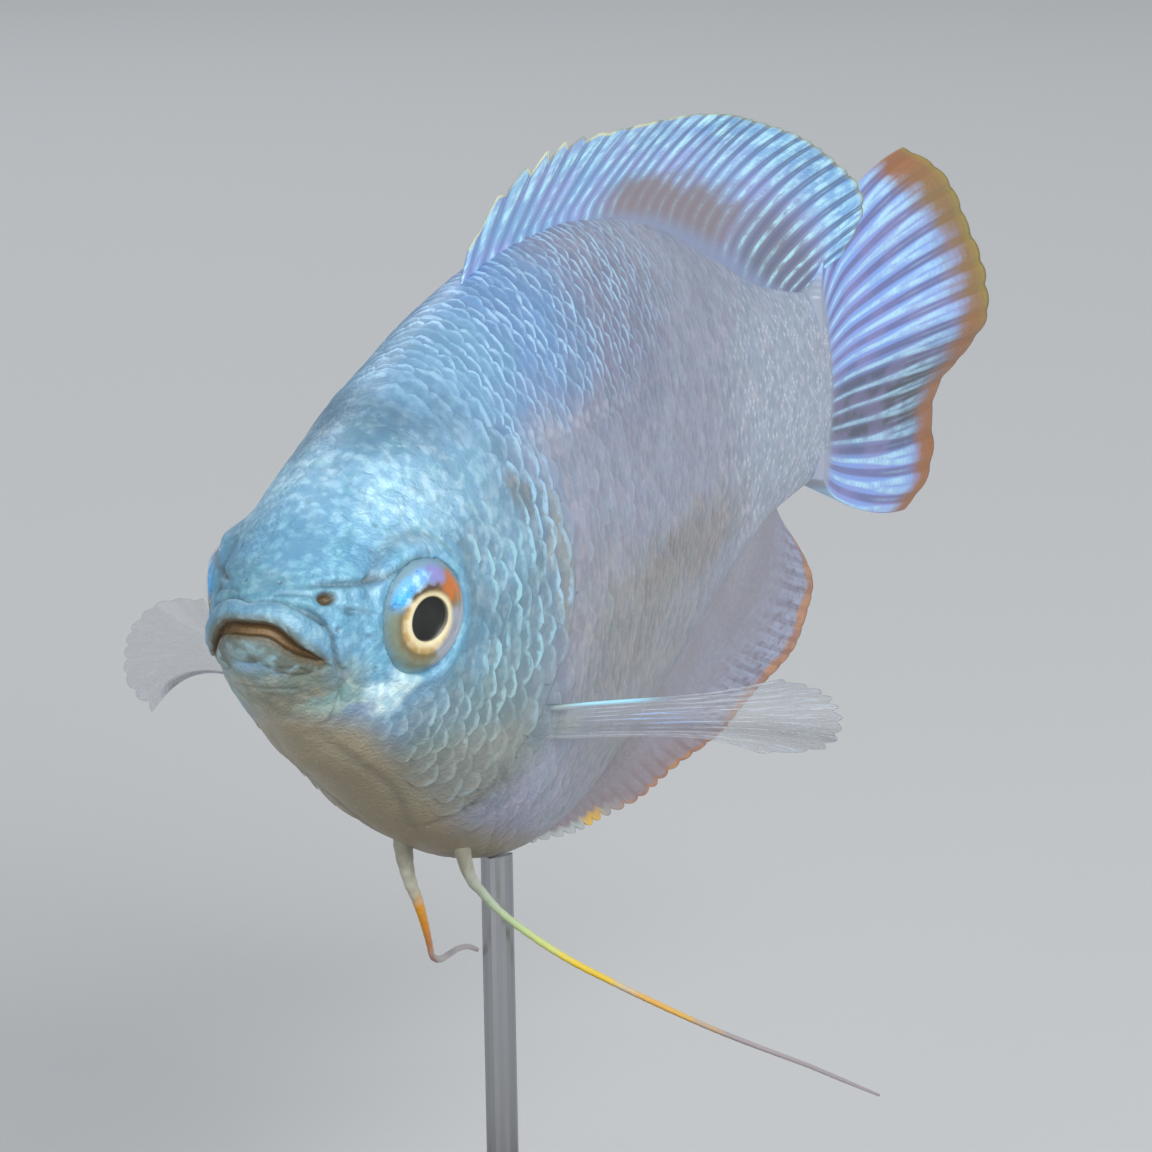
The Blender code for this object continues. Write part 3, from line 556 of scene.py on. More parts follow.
beyond = distance - half_open
inside = rise(beyond, 0.07, -0.10)
lining = LINING_DEPTH * (0.25 + 0.75 * np.sqrt(np.clip(1 - share**2, 0, 1)))
upper = UPPER_ROLL * roll(beyond, upper_width) * above
lower = LOWER_ROLL * roll(beyond, lower_width) * ~above
behind_lip = -0.10 * hump(beyond - upper_width - 0.02, 0.08) * above
below_lip = -0.02 * hump(beyond - lower_width - 0.04, 0.12) * ~above
push[face] += (upper + lower + behind_lip + below_lip) * fade - lining * inside * fade
# painted shade: a brown tint on the lower lip's edge, under the upper lip
shade_mark = LIP_SHADE_LEVEL * rise(beyond, 0.34, 0.02) * ~above
marks["gape"][face] = np.maximum(inside, shade_mark) * fade
# rises away from the gape: near it the upper lip takes the lower lip's darker tone as painted shade, and
# its top the light tone as a painted highlight
marks["upper"][face] = above * (0.25 + 0.75 * np.clip(1.4 * beyond / upper_width, 0, 1))
width = np.where(above, upper_width, lower_width)
marks["lips"][face] = rise(beyond, width + 0.06, width - 0.12) * fade
# painted shade in the grooves behind the upper lip and below the lower lip
marks["crease"][face] = 5.5 * -(behind_lip + below_lip) * fade
print("points in the gape:", int((marks["gape"] > 0.5).sum()))

# %% [markdown]
# ## Folds, nostrils and pores
# The jaw slides in a fold behind the lip, the brow overhangs a crease that runs from the
# nostril to the eye, and fine sensory pores dot the snout. A groove is a narrow negative
# hump along its line. A wider positive hump beside it makes the flesh look soft.

# %% Press in the folds
FOLDS = (
    # line, depth, half width of the groove, swell beside it
    (JAW_FOLD, 0.19, 0.11, 0.07),
    (JAW_BACK, 0.12, 0.12, 0.05),
    (LIP_CREASE, 0.03, 0.08, 0.02),
    (CHIN_CREASE, 0.05, 0.09, 0.03),
    (BROW, 0.19, 0.13, 0.10),
    (SNOUT_FOLD, 0.06, 0.10, 0.04),
    (NOSE_SLOT, 0.09, 0.10, 0.05),
    (THROAT_FOLD, 0.07, 0.22, 0.03),
    (CHEEK_FOLD, 0.05, 0.20, 0.03),
)
for table, depth, half_width, swell in FOLDS:
    distance, share, spot = near_line(folded, trace(table))
    taper = np.clip(4 * share * (1 - share) * 1.6, 0, 1)
    push += taper * (swell * hump(distance, 4 * half_width) - depth * hump(distance, half_width))
    # painted shade along each groove
    marks["crease"] += taper * 4.0 * depth * hump(distance, 1.1 * half_width)

# place in side view, radius, depth, stretch: the nostril, a slot behind it, then pores
PITS = (
    (1.97, 0.76, 0.24, 0.26, 1.6), (2.62, 0.22, 0.15, 0.09, 2.0), (2.02, -0.29, 0.11, 0.09, 1.2),
    (3.3, 2.05, 0.10, 0.07, 1.3), (4.35, 2.0, 0.09, 0.06, 1.2), (5.2, 2.75, 0.09, 0.06, 1.2),
    (1.2, 1.35, 0.08, 0.06, 1.2), (3.2, -0.7, 0.09, 0.06, 1.2), (3.6, -1.9, 0.09, 0.06, 1.2),
    (7.5, 2.5, 0.10, 0.07, 1.2), (8.6, 1.3, 0.09, 0.06, 1.2),
)
for number, (x, z, radius, depth, stretch) in enumerate(PITS):
    centre, beside = flank_at(np.array((x, x + 0.1)), np.array((z, z)))
    along = (beside - centre) / np.linalg.norm(beside - centre)
    offset = folded - centre
    length = (offset @ along)[:, None] * along
    distance = np.linalg.norm(offset - length * (1 - 1 / stretch), axis=1)
    push += 0.15 * depth * hump(distance - 1.6 * radius, 0.6 * radius)
    push -= depth * rise(distance, 1.25 * radius, 0.35 * radius)
    # painted shade in the nostril and the pores
    shade_mark = rise(distance, 1.3 * radius, 0.6 * radius)
    mark = "pits" if number == 0 else "crease"
    marks[mark] = np.maximum(marks[mark], shade_mark * (1.0 if number == 0 else 0.55))

# place in side view, radius and height of the soft forms of chin, throat and nape
SWELLS = (
    (0.9, -2.4, 1.1, 0.26), (2.6, -3.7, 1.6, 0.32), (4.8, -5.5, 2.0, 0.26), (3.8, -0.4, 1.2, 0.10),
    (13.9, -5.95, 0.8, 0.22),
)
for x, z, radius, height in SWELLS:
    distance = np.linalg.norm(folded - flank_at(np.array(x), np.array(z)), axis=1)
    push += height * hump(distance, radius)
print("folds:", len(FOLDS), "pits:", len(PITS), "swells:", len(SWELLS))

# %% [markdown]
# ## Small lumps in the skin
# Thick skin over bone is never even. On the forehead it is pebbled, and in front of the
# cheek a few scales lie under it as white knobs. Random heights on a coarse lattice, read
# smoothly between its points, give such lumps at any size. Each size gets its own seed.


# %% Roughen the skin
def lumps(points, size, seed):
    """Smooth random heights from -1 to 1, with lumps of this size in mm."""
    lattice = np.random.default_rng(seed).uniform(-1, 1, (32, 32, 32))
    low = np.floor(points / size).astype(int)
    part = rise(points / size - low, 0, 1)
    total = 0
    for corner in np.ndindex(2, 2, 2):
        weight = np.prod(np.where(corner, part, 1 - part), axis=-1)
        total = total + weight * lattice[tuple(np.moveaxis((low + corner) % 32, -1, 0))]
    return total


whole = loft.reshape(-1, 3)
head_share = rise(whole[:, 0], 15.0, 8.0) * (1 - 0.8 * rise(marks["lips"], 0.0, 0.6))
head_share = head_share * (0.35 + 0.65 * rise(whole[:, 2], -7.0, -3.0))
knobs = hump(np.linalg.norm(folded - flank_at(np.array(4.6), np.array(-2.9)), axis=1), 1.1)
from_nostril = np.linalg.norm(folded - flank_at(np.array(2.8), np.array(-0.5)), axis=1)
snout_share = 1 + 0.9 * hump(from_nostril, 1.6)
push += head_share * snout_share * (0.034 * lumps(whole, 0.80, 3) + 0.026 * lumps(whole, 0.38, 4))
push += knobs * (0.05 + 0.09 * lumps(whole, 0.62, 5)) + 0.03 * lumps(whole, 2.4, 6)
print("pebbled share of the skin:", round(float(head_share.mean()), 2))

# %% [markdown]
# ## The gill cover
# The gill cover is a thin plate hinged in the cheek. Its rear edge lifts a little over the shoulder and
# casts a fine shadow, which is also painted in as a dark line behind the edge. In side view that edge is a
# line, so a point's distance ahead of it lifts the plate, and its distance behind it makes the small step
# down.

# %% Lift the gill cover
COVER_LIFT = 0.16
distance, share, spot = near_line(folded, trace(GILL_EDGE, 90))
HINGE = np.array((11.0, -2.0))
from_hinge = np.linalg.norm(folded[:, (0, 2)] - HINGE, axis=1)
ahead = from_hinge < np.linalg.norm(spot[:, (0, 2)] - HINGE, axis=1)
ends = rise(share, 0.20, 0.48) * rise(share, 1.0, 0.8)
edge = rise(np.where(ahead, distance, -distance), -0.10, 0.10)
push += ends * COVER_LIFT * edge * rise(distance, 2.6, 0.2)
push -= ends * 0.09 * (1 - edge) * hump(distance, 0.45)
# painted shadow in the step just behind the cover's edge
marks["crease"] += 0.35 * ends * (1 - edge) * hump(distance, 0.16)
shaped = loft + loft_normals * push.reshape(STATIONS, AROUND, 1)
print("gill cover lifted by mm:", COVER_LIFT)

# %% [markdown]
# ## The orbits
# Round each eye the skin rises to a soft ring, and inside the ring it drops behind the
# eyeball. An eye has its own frame: out along its gaze, up, and back towards the tail. In
# that frame the ring and the socket depend only on the distance from the eye's axis.

# %% Sink the eye sockets
EYE_CENTRE = np.array((5.65, 3.95, -0.50))
GAZE = np.array((-0.34, 0.94, -0.08)) / np.linalg.norm((-0.34, 0.94, -0.08))
EYE_UP = np.array((0.0, 0.0, 1.0)) - GAZE[2] * GAZE
EYE_UP = EYE_UP / np.linalg.norm(EYE_UP)
EYE_REAR = np.cross(GAZE, EYE_UP)
EYE_REAR = EYE_REAR * np.sign(EYE_REAR[0])
EYE_RADIUS = 2.12
RING_RADIUS = 2.8
RING_FOOT = -1.0
RING_HEIGHT = 1.05
RING_SOFTNESS = 0.22
FURROW_RADIUS = 2.74
SOCKET_DEPTH = 1.1

for side in (-1, 1):
    mirror = np.array((1.0, side, 1.0))
    local = (shaped * mirror) - EYE_CENTRE
    around = np.hypot(local @ EYE_REAR, local @ EYE_UP)
    height = local @ GAZE
    close = (around < 3.6) & (np.abs(height) < 3.0)
    ring = RING_FOOT + RING_HEIGHT * np.sqrt(np.clip(1 - (around / RING_RADIUS) ** 2, 0, 1))
    ring = np.where(around < RING_RADIUS, ring, RING_FOOT - 2.5 * (around - RING_RADIUS))
    taller = RING_SOFTNESS * np.logaddexp(height / RING_SOFTNESS, ring / RING_SOFTNESS)
    upper_front = rise(local @ EYE_UP - 0.25 * (local @ EYE_REAR), 1.2, 2.4)
    taller += 0.06 * hump(around - 2.34, 0.16)
    taller -= (0.01 + 0.15 * upper_front) * hump(around - FURROW_RADIUS, 0.16)
    sunk = rise(around, 2.06, 1.90)
    wanted = taller * (1 - sunk) + np.minimum(taller, -SOCKET_DEPTH) * sunk
    blend = rise(around, 3.5, 2.9)
    lift = np.where(close, (wanted - height) * blend, 0.0)
    shaped = shaped + lift[..., None] * GAZE * mirror
    # painted shade: a dark line in the furrow above and in front of the eye
    ring_line = upper_front * hump(around - FURROW_RADIUS, 0.15)
    marks["crease"] += 0.45 * np.where(close, ring_line, 0).ravel()
print("eye sockets sunk to mm:", -SOCKET_DEPTH)

# %% [markdown]
# ## Colours of the body
# The body's colour is a lavender ground under soft patches, such as the blue crown and the greenish chin.
# Two olive-brown patches low on the flank are painted shade, where the body narrows under. Each has a
# centre and half sizes in side view, in millimetres, and a strength. They are laid on in order, so a later
# patch covers an earlier one.

# %% Name the colours and place the patches
LAVENDER = (0.310, 0.335, 0.440)
HEAD_CYAN = (0.180, 0.425, 0.640)
FOREHEAD = (0.265, 0.455, 0.630)
CROWN_GREY = (0.125, 0.250, 0.370)
NAPE = (0.190, 0.385, 0.580)
LOW_CHEEK = (0.255, 0.275, 0.255)
AZURE = (0.165, 0.330, 0.610)
BRIDGE = (0.140, 0.330, 0.440)
LILAC = (0.230, 0.250, 0.365)
SAGE = (0.175, 0.265, 0.290)
OPERCLE = (0.180, 0.290, 0.360)
SILVER = (0.365, 0.425, 0.540)
WARM_GREY = (0.300, 0.308, 0.330)
BEIGE = (0.320, 0.285, 0.205)
# painted shade low on the flank, where the body narrows under
OLIVE_SHADE = (0.260, 0.255, 0.250)
WHITE_KNOB = (0.620, 0.880, 0.980)
BROW_CYAN = (0.410, 0.720, 0.950)
# painted shadow: a brown band along the lower flank, where the body turns under
SHADOW_BAND_BROWN = (0.250, 0.225, 0.205)
FLECK_TEAL = (0.300, 0.480, 0.480)
SPOT_BROWN = (0.190, 0.190, 0.180)
GILL_GOLD = (0.300, 0.315, 0.270)
CHIN_GREEN = (0.230, 0.268, 0.230)
CRACK_TEAL = (0.100, 0.190, 0.250)
BRIGHTER = (1.48, 1.30, 1.18)
DIMMER = (0.72, 0.80, 0.84)
GREENER = (0.96, 1.03, 0.96)
WARMER = (1.14, 1.03, 0.98)
# colour, centre (x, z) and half sizes of each patch, with its strength
PATCHES = (
    (WARM_GREY, (26.0, -6.5), (13.0, 7.0), 0.8),
    # the next two patches are painted shade where the lower flank turns under
    (SHADOW_BAND_BROWN, (31.0, -2.6), (14.0, 2.1), 0.6),
    (OLIVE_SHADE, (22.0, -4.0), (6.0, 3.0), 0.5),
    (WARM_GREY, (19.0, -3.5), (5.5, 5.0), 0.6),
    (LILAC, (24.0, 6.5), (9.0, 5.0), 0.8),
    (AZURE, (15.5, 8.4), (9.5, 5.2), 0.95),
    (SILVER, (45.5, 0.5), (11.0, 8.0), 0.85),
    (HEAD_CYAN, (6.0, 1.5), (11.5, 8.5), 1.0),
    (OPERCLE, (11.5, -0.5), (5.0, 6.0), 0.7),
    (FOREHEAD, (10.8, 1.4), (3.0, 2.8), 0.9),
    (SAGE, (9.5, -6.0), (6.5, 4.2), 0.9),
    (LOW_CHEEK, (9.5, -7.0), (6.0, 2.8), 0.85),
    (CROWN_GREY, (9.0, 6.2), (3.8, 2.4), 0.85),
    (NAPE, (13.0, 7.5), (4.4, 3.2), 0.9),
    (FOREHEAD, (8.6, 3.5), (4.4, 2.4), 0.8),
    (BROW_CYAN, (6.8, 3.1), (3.6, 1.8), 0.75),
    (SPOT_BROWN, (13.0, 2.5), (0.9, 1.1), 0.6),
    (GILL_GOLD, (14.8, -0.6), (0.9, 3.8), 0.6),
    (BRIDGE, (0.9, 1.2), (2.2, 1.3), 0.7),
    (BRIDGE, (3.0, 0.1), (1.6, 1.8), 0.35),
    (CHIN_GREEN, (1.0, -2.7), (3.3, 2.1), 1.0),
    (FLECK_TEAL, (2.7, -3.0), (1.2, 0.8), 0.7),
    (WHITE_KNOB, (4.5, -2.9), (1.6, 0.8), 0.85),
)
print("patches on the body:", len(PATCHES))

# %% [markdown]
# ## The markings group
# The same markings have to run over skin and scales, so they are one node group that both
# materials place. It reads each point's own place on the straight fish, in millimetres. A
# marking is a soft patch: how near the place is to the patch's centre, measured in its own
# half sizes. A little noise in the place itself keeps the borders from looking drawn.

# %% Build the markings group
markings, board, start, end = new_group(
    "fish_markings", (("Place", "Vector"), ("Belly", "Float")),
    (("Color", "Color"), ("Shine", "Float"), ("Mottle", "Float"), ("Crack", "Float")))
place = start["Place"]


def soft_patch(board, place, centre, half_sizes):
    """1 near the centre of a patch on the flank, falling softly to 0 at its border."""
    away = board.vector("SUBTRACT", place, (centre[0], 0.0, centre[1]))
    away = board.vector("DIVIDE", away, (half_sizes[0], 1e6, half_sizes[1]))
    return board.ramp(board.vector("LENGTH", away), 1.0, 0.35)


wobble = board.node("TexNoise", {"Vector": place, "Scale": 0.55, "Detail": 2.0}).outputs["Color"]
wobble = board.vector("SUBTRACT", wobble, (0.5, 0.5, 0.5))
moved = board.vector("ADD", place, board.vector("MULTIPLY", wobble, (2.6, 0.0, 2.6)))
colour = LAVENDER
for tint, centre, half_sizes, strength in PATCHES:
    colour = board.paint(colour, tint, soft_patch(board, moved, centre, half_sizes), strength)

twist = board.node("TexNoise", {"Vector": place, "Scale": 1.7, "Detail": 2.0}).outputs["Color"]
twist = board.vector("ADD", place, board.vector("MULTIPLY", twist, (0.55, 0.55, 0.55)))
cells = board.node("TexVoronoi", {"Vector": twist, "Scale": 2.4}, feature="SMOOTH_F1").outputs[0]
cells = board.ramp(cells, 0.62, 0.10)
blotch = board.noise(place, 0.55, 3.0)
grain = board.noise(place, 4.5, 4.0)
mottle = board.scaled(cells, 0.34, board.times(blotch, 0.42))
mottle = board.scaled(grain, 0.44, mottle)
mottle = board.ramp(mottle, 0.38, 0.84)
on_head = board.math("MAXIMUM", soft_patch(board, place, (6.0, 1.5), (12.5, 9.5)), 0.30)
bright = board.mix(1.0, colour, BRIGHTER, blend="MULTIPLY")
dim = board.mix(1.0, colour, DIMMER, blend="MULTIPLY")
speckled = board.paint(colour, board.mix(mottle, dim, bright), on_head, 0.85)
hue = board.noise(board.vector("ADD", place, (40.0, 0.0, 0.0)), 0.8, 2.0)
tinge = board.mix(board.ramp(hue, 0.50, 0.66), (1.0, 1.0, 1.0), GREENER)
tinge = board.mix(board.ramp(hue, 0.48, 0.34), tinge, WARMER)
tinged = board.mix(1.0, speckled, tinge, blend="MULTIPLY")
speckled = board.mix(board.scaled(on_head, 0.7, 0.2), speckled, tinged)
shape = board.node("TexVoronoi", {"Vector": twist, "Scale": 1.25}, feature="DISTANCE_TO_EDGE").outputs[0]
broken = board.ramp(board.noise(place, 1.3, 2.0), 0.42, 0.60)
on_crown = soft_patch(board, place, (8.0, 3.6), (8.0, 5.0))
crack = board.times(board.ramp(shape, 0.13, 0.0), broken, on_crown)
speckled = board.paint(speckled, CRACK_TEAL, crack, 0.20)
colour = board.mix(start["Belly"], speckled, BEIGE)
board.put(end["Color"], colour)
board.put(end["Shine"], board.math("SUBTRACT", 1.0, start["Belly"]))
board.put(end["Mottle"], mottle)
board.put(end["Crack"], crack)
print("nodes in the markings group:", len(markings.nodes))

# %% [markdown]
# ## The belly's border
# The throat and belly are plain beige skin. The border with the silvery cheek runs back
# and down from the chin, and fades out behind the feelers. It is a line again: a place is
# belly when it lies below the line.


# %% Say where the belly is
BELLY_BORDER = ((-0.4, -2.2), (0.5, -2.5), (4.3, -4.0), (8.2, -7.0), (12.3, -9.5), (22.0, -12.6))


def belly_share(points):
    """1 on the plain belly and throat, 0 on the flank, from straight-fish places."""
    table = np.array(BELLY_BORDER)
    border = np.interp(points[..., 0], table[:, 0], table[:, 1])
    drop = border - points[..., 2]
    return rise(drop, -0.55, 0.75) * rise(points[..., 0], 24.0, 17.0)


def mark_skin(board, place, belly):
    """The markings group placed in a material."""
    return use_group(board, markings, {"Place": place, "Belly": belly})


print("points in the belly's border:", len(BELLY_BORDER))

# %% [markdown]
# ## The skin's finish
# Skin is wet-looking over a soft, slightly metallic colour, because small mirror-like cells lie under a
# clear slime coat. The lips are paler and the lining of the gape is brown. Painted shade darkens the
# lining deep in the gape, the lower lip's edge under the upper lip, and the upper lip near the gape, whose
# top stays light as a painted highlight. Creases, pits and the step under the gill cover are painted dark
# where light can't reach.

# %% Finish the skin
UPPER_LIP = (0.135, 0.310, 0.455)
LOWER_LIP = (0.122, 0.134, 0.098)
LIP_SPOT = (0.250, 0.480, 0.500)
LINING = (0.200, 0.125, 0.055)
# painted shade of the lining deep in the gape
LINING_SHADE = (0.060, 0.036, 0.020)
# painted shade on the lower lip's edge under the upper lip
LIP_SHADE = (0.120, 0.090, 0.045)
# the next two are painted shade: inside the nostril, and in creases, grooves and pores
PIT_BROWN = (0.110, 0.075, 0.035)
CREASE_DARK = (0.090, 0.115, 0.120)
LIP_CYAN = (0.36, 0.60, 0.70)

skin_finish, board, shader = new_material(
    "skin_finish", Coat_Weight=0.22, Coat_Roughness=0.30, Specular_IOR_Level=0.4)
place = board.attribute("fish")
belly = board.attribute("belly", "Fac")
lips, gape, crease = board.split(board.attribute("face_marks"))
colours = mark_skin(board, place, belly)
# the upper lip is painted darker near the gape as shade and lighter on top as a highlight; the lower lip
# keeps its own olive
lip = board.mix(board.ramp(board.attribute("upper_lip", "Fac"), 0.3, 0.7), LOWER_LIP, UPPER_LIP)
spot = soft_patch(board, place, (0.50, -1.05), (0.65, 0.50))
lip = board.paint(lip, LIP_SPOT, spot, board.ramp(colours["Mottle"], 0.2, 0.6))
lip = board.paint(lip, LIP_CYAN, colours["Mottle"], 0.38)
colour = board.paint(colours["Color"], lip, lips, 0.9)
# painted shade in the creases and grooves
colour = board.paint(colour, CREASE_DARK, crease, 0.8)
# painted shade on the lower lip's edge under the upper lip
colour = board.paint(colour, LIP_SHADE, board.ramp(gape, 0.0, LIP_SHADE_LEVEL), 0.8)
# painted shade: the lining darkens towards the middle of the gape
lining = board.mix(board.ramp(gape, 0.35, 0.95), LINING_SHADE, LINING)
colour = board.mix(board.ramp(gape, 0.10, 0.45), colour, lining)
# painted shade inside the nostril
colour = board.mix(board.attribute("pits", "Fac"), colour, PIT_BROWN)
board.put(shader.inputs["Base Color"], colour)
board.put(shader.inputs["Metallic"], board.times(colours["Shine"], 0.15))
board.put(shader.inputs["Roughness"], board.scaled(colours["Mottle"], -0.10, 0.52))
cracks = board.times(colours["Crack"], 0.35)
board.relief(shader, board.math("SUBTRACT", board.noise(place, 7.0, 3.0), cracks), 0.6, 0.00010)
print("skin finish ready")

# %% [markdown]
# ## Closing the skin
# The rings end in a small fan at the nose and a cap at the tail stalk, which tapers to a
# vertical edge inside the root of the tail fin. What was worked out for the points on the
# way, such as lips and creases, is stored on the mesh for the finish to read.

# %% Build the skin
TAIL_CAP = ((0.30, 0.92), (0.55, 0.70), (0.68, 0.38), (0.72, 0.0))
rings = [shaped.reshape(-1, 3)]
for step, scale in TAIL_CAP:
    middle = shaped[-1].mean(0)
    rings.append(middle + (shaped[-1] - middle) * (1, scale, 0.7 + 0.3 * scale) + (step, 0, 0))
nose_tip = shaped[0].mean(0)[None]
skin_points = np.vstack(rings + [nose_tip])
ring_count = STATIONS + len(TAIL_CAP)
skin_faces = grid_faces(ring_count, AROUND, closed=True)
tip = len(skin_points) - 1
skin_faces += [(tip, (side + 1) % AROUND, side) for side in range(AROUND)]
extra = len(skin_points) - len(folded)
padded = {name: np.append(np.clip(data, 0, 1), np.zeros(extra)) for name, data in marks.items()}
FLESH = ("head", "lower_jaw", "gill_cover_left", "gill_cover_right", "trunk", "tail_stalk")
skin = make_piece(
    "skin", to_stand(skin_points), skin_faces, "skin", FLESH,
    fish=skin_points, belly=belly_share(skin_points), pits=padded["pits"], upper_lip=padded["upper"],
    face_marks=np.stack([padded["lips"], padded["gape"], padded["crease"]], -1))
skin.data.materials.append(skin_finish)

# %% [markdown]
# ## Scales, one by one
# Each scale is a small rounded plate, rooted under the one ahead of it and standing free
# at its rear edge. The rows run along the fish and get smaller where the body does, so
# the same number of rows goes round the tail stalk as round the trunk. Columns are offset
# by half a scale, like tiles. Each plate is laid on the loft point by point, so it bends
# with the flank.

# %% Plan the rows of scales
HEAD_ROWS, HEAD_STEP, HEAD_LENGTH = 18, 0.64, 1.75
BODY_ROWS, BODY_STEP, BODY_LENGTH = 29, 0.55, 1.50
SCALE_ACROSS = 7
SCALE_ALONG = (0.0, 0.50, 0.84, 1.0)
FIRST_COLUMN = 3.0
LAST_COLUMN = 50.2
side_angles = np.linspace(math.pi / 2, -math.pi / 2, 181)
rng = np.random.default_rng(28)


def half_girth(x):
    """Arc lengths from the back down one side of the body at x, in mm."""
    ring = flank(np.full(side_angles.shape, x), side_angles)
    return np.concatenate([[0.0], np.cumsum(np.linalg.norm(np.diff(ring, axis=0), axis=1))])


def lay_rows(rows, step, length, last):
    """Roots of one side: x, angle, height of a scale, share of the way down, length."""
    plan = []
    x, column = FIRST_COLUMN, 0
    while x < last:
        arc = half_girth(x)
        tall = arc[-1] / rows
        for row in range(rows + column % 2):
            down = (row + 0.5 * (1 - column % 2)) / rows
            plan.append((x, np.interp(down * arc[-1], arc, side_angles), tall, down, length))
        x += step * tall
        column += 1
    return np.array(plan)


def coat_share(spots):
    """How fully scales have grown: 0 on snout, eye ring and throat, 1 on the flank."""
    x, z = spots[:, 0], spots[:, 2]
    from_eye = np.hypot((x - EYE_CENTRE[0]) * 1.05, z - EYE_CENTRE[2])
    above = rise(z, 0.8, 3.0)
    grown = rise(x, 3.0, 4.4) * (1 - above) + rise(x, 6.5, 11.5) * above
    bare_throat = rise(belly_share(spots) * rise(x, 15.0, 11.5), 0.10, 0.80)
    return grown * rise(from_eye, 2.85, 3.7) * (1 - bare_throat)


HEAD_REAR = ((9.6, 9.5), (10.8, 7.0)) + GILL_EDGE + ((9.0, -12.5),)
rear_x, rear_z = np.array(HEAD_REAR[::-1]).T
head_plan = lay_rows(HEAD_ROWS, HEAD_STEP, HEAD_LENGTH, 17.0)
body_plan = lay_rows(BODY_ROWS, BODY_STEP, BODY_LENGTH, LAST_COLUMN)
kept = []
for rows, on_head in ((head_plan, True), (body_plan, False)):
    spots = flank(rows[:, 0], rows[:, 1])
    ahead_of_gill = spots[:, 0] < np.interp(spots[:, 2], rear_z, rear_x)
    shares = coat_share(spots)
    from_gill, gill_share, nearest = near_line(spots, trace(GILL_EDGE, 90))
    on_edge = (from_gill < 0.62 * rows[:, 2]) & (gill_share > 0.34) & (gill_share < 0.94)
    chosen = (ahead_of_gill == on_head) & (shares > 0.04) & ~on_edge
    kept.append(np.column_stack([rows, shares])[chosen])
plan = np.vstack(kept)
print("scales on one side: head", len(kept[0]), "body", len(kept[1]))

# %% [markdown]
# ## The shape of one scale
# A scale's front is hidden, its sides are nearly straight, and its free edge is a rounded
# fan. The plate tilts up towards that edge by about its own thickness, which is what lets
# the next one slide under it. Every scale varies a little in size and tilt, as real ones
# do. A closed mesh has a lower face and a rim too, so the coat is solid.


# %% Describe one scale
CALM_CENTRE = (28.0, -2.5)
CALM_HALF = (13.0, 8.0)
SCALE_THICKNESS = 0.02
SCALE_SINK = 0.045
SCALE_LIFT = 0.045


def scale_template():
    """Across and along shares of one scale's upper face, row by row, and its outline."""
    across = np.sin(np.linspace(-1, 1, SCALE_ACROSS) * math.pi / 2)
    along = np.array(SCALE_ALONG)[:, None] + 0 * across
    across = across + 0 * along
    rows, columns = along.shape
    index = np.arange(rows * columns).reshape(rows, columns)
    rim = list(index[0]) + list(index[1:, -1]) + list(index[-1, -2::-1]) + list(index[-2:0:-1, 0])
    return across.ravel(), along.ravel(), np.array(rim)


def read_grid(grid, x, angle):
    """Smoothly read a grid of rings at any distance along and angle round the body."""
    row = np.clip((from_snout(x) - reach[0]) / STEP, 0, STATIONS - 1.001)
    column = np.mod(angle / (2 * math.pi) * AROUND, AROUND)
    low_row, low_column = row.astype(int), column.astype(int) % AROUND
    row_part, column_part = (row - low_row)[..., None], (column - np.floor(column))[..., None]
    next_column = (low_column + 1) % AROUND
    near = grid[low_row, low_column] * (1 - column_part) + grid[low_row, next_column] * column_part
    far_row = low_row + 1
    far = grid[far_row, low_column] * (1 - column_part) + grid[far_row, next_column] * column_part
    return near * (1 - row_part) + far * row_part


print("points on a scale's upper face:", len(scale_template()[0]))

# %% [markdown]
# ## From plan to plates
# The scales of a piece are worked out all at once, in arrays with a row for each scale.
# Width, length and lift vary by chance. The plate is read off the shaped skin where it
# lies, and sinks into the skin where scales haven't fully grown.


